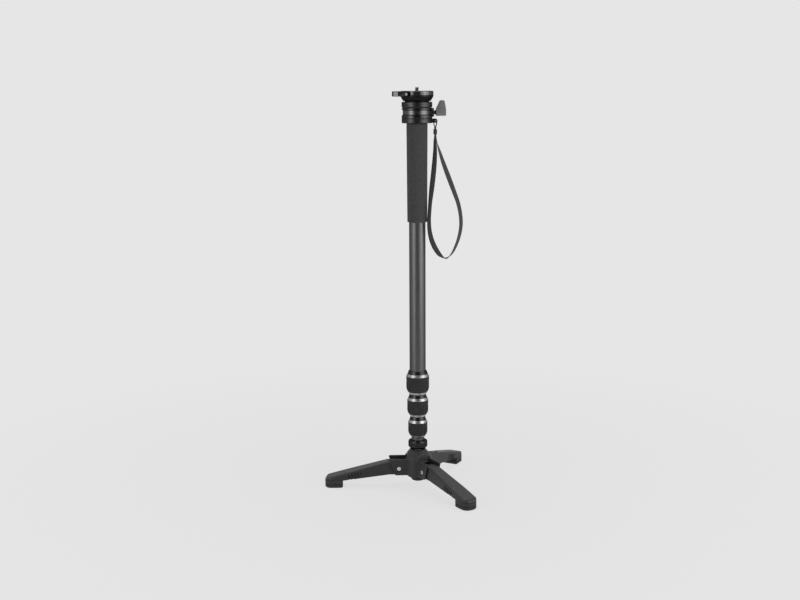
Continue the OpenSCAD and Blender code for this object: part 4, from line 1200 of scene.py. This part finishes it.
class MONOPOD_OT_mouldings(bpy.types.Operator):
    """Round the hub and the legs as a mould would, most of all at the legs' tips"""
    bl_idname = "monopod.mouldings"
    bl_label = "Hub and Legs"

    def execute(self, context):
        self.moulding("soft_hub", "hub", "base", edge_rounds=10)
        for number, body in LEG_BODIES.items():
            self.moulding(f"soft_leg_{number}", f"leg_{number}", body, edge_rounds=9, tip_rounds=80)
        return {"FINISHED"}

    def moulding(self, name, node, body, edge_rounds, tip_rounds=0):
        """A copy of a CAD node on a fine even mesh, with its edges smoothed."""
        weld, share_kept = 0.001 * MM, 0.3
        mesh = bpy.data.meshes.new(name)
        solid = bmesh.new()
        solid.from_mesh(frame["nodes"][node].data)
        bmesh.ops.remove_doubles(solid, verts=solid.verts, dist=weld)
        solid.to_mesh(mesh)
        solid.free()
        piece = add_object(name, mesh)
        net = piece.modifiers.new("net", "REMESH")
        net.mode = "VOXEL"
        net.voxel_size = details().mould_mesh
        settle(piece)
        self.smooth(piece, "edges", edge_rounds)
        if tip_rounds:
            self.mark_tip(piece)
            self.smooth(piece, "tip", tip_rounds).vertex_group = "tip"
        piece.modifiers.new("thin", "DECIMATE").ratio = share_kept
        settle(piece)
        piece.data.materials.clear()
        piece.data.materials.append(finish("leg_plastic"))
        piece.data.shade_smooth()
        dress(piece, body, "leg_plastic", node)

    def smooth(self, piece, label, rounds):
        """Adds a pass that evens a piece's surface."""
        soft = piece.modifiers.new(label, "SMOOTH")
        soft.iterations = rounds
        return soft

    def mark_tip(self, piece):
        """Weighs the end of a leg above its shoe."""
        run, shoe, fade = 24 * MM, 13 * MM, 3 * MM
        tip = piece.vertex_groups.new(name="tip")
        away = [(v.co.xy - MAST.xy).length for v in piece.data.vertices]
        reach = max(away)
        for v, out in zip(piece.data.vertices, away):
            far = min(max((out - reach) / run + 1, 0), 1)
            high = min(max((v.co.z - shoe) / fade, 0), 1)
            tip.add([v.index], far * high, "REPLACE")


class MONOPOD_OT_finishes(bpy.types.Operator):
    """Give every rigid part of the frame its finish"""
    bl_idname = "monopod.finishes"
    bl_label = "Finishes"

    def execute(self, context):
        special = {
            "clamp_body": "lever_black", "lever_screw": "thumb_metal", "camera_plate": "plate_black",
            "pan_base": "banded_black", "base_plug": "tube_grey",
        }
        slots = {part["node"]: part["material_slot"] for part in frame["record"]["subparts"]}
        for name, node in frame["nodes"].items():
            material = finish(special.get(name, slots[name]))
            if not node.material_slots:
                node.data.materials.append(material)
            for slot in node.material_slots:
                slot.material = material
        return {"FINISHED"}


class MONOPOD_PT_sidebar(bpy.types.Panel):
    """Tools and settings of the monopod"""
    bl_idname = "MONOPOD_PT_sidebar"
    bl_label = "Monopod"
    bl_space_type = "VIEW_3D"
    bl_region_type = "UI"
    bl_category = "Monopod"

    def draw(self, context):
        layout = self.layout
        for operator in OPERATORS:
            layout.operator(operator.bl_idname)
        for settings in (finishes(), details(), studio()):
            box = layout.box()
            for name in settings.__annotations__:
                box.prop(settings, name)


OPERATORS = (
    MONOPOD_OT_stage,
    MONOPOD_OT_wrist_strap,
    MONOPOD_OT_grip,
    MONOPOD_OT_lock_sleeves,
    MONOPOD_OT_camera_screw,
    MONOPOD_OT_clamp_lever,
    MONOPOD_OT_plate_pad,
    MONOPOD_OT_pan_knob,
    MONOPOD_OT_mouldings,
    MONOPOD_OT_finishes,
)
SETTINGS = {
    "monopod_finishes": MonopodFinishes, "monopod_details": MonopodDetails, "monopod_studio": MonopodStudio,
}
CLASSES = (*SETTINGS.values(), *OPERATORS, MONOPOD_PT_sidebar)


def register():
    for cls in CLASSES:
        bpy.utils.register_class(cls)
    for name, group in SETTINGS.items():
        setattr(bpy.types.Scene, name, PointerProperty(type=group))


def unregister():
    for name in SETTINGS:
        delattr(bpy.types.Scene, name)
    for cls in reversed(CLASSES):
        bpy.utils.unregister_class(cls)


def main():
    register()
    for operator in OPERATORS:
        family, name = operator.bl_idname.split(".")
        getattr(getattr(bpy.ops, family), name)()


if __name__ == "__main__":
    main()
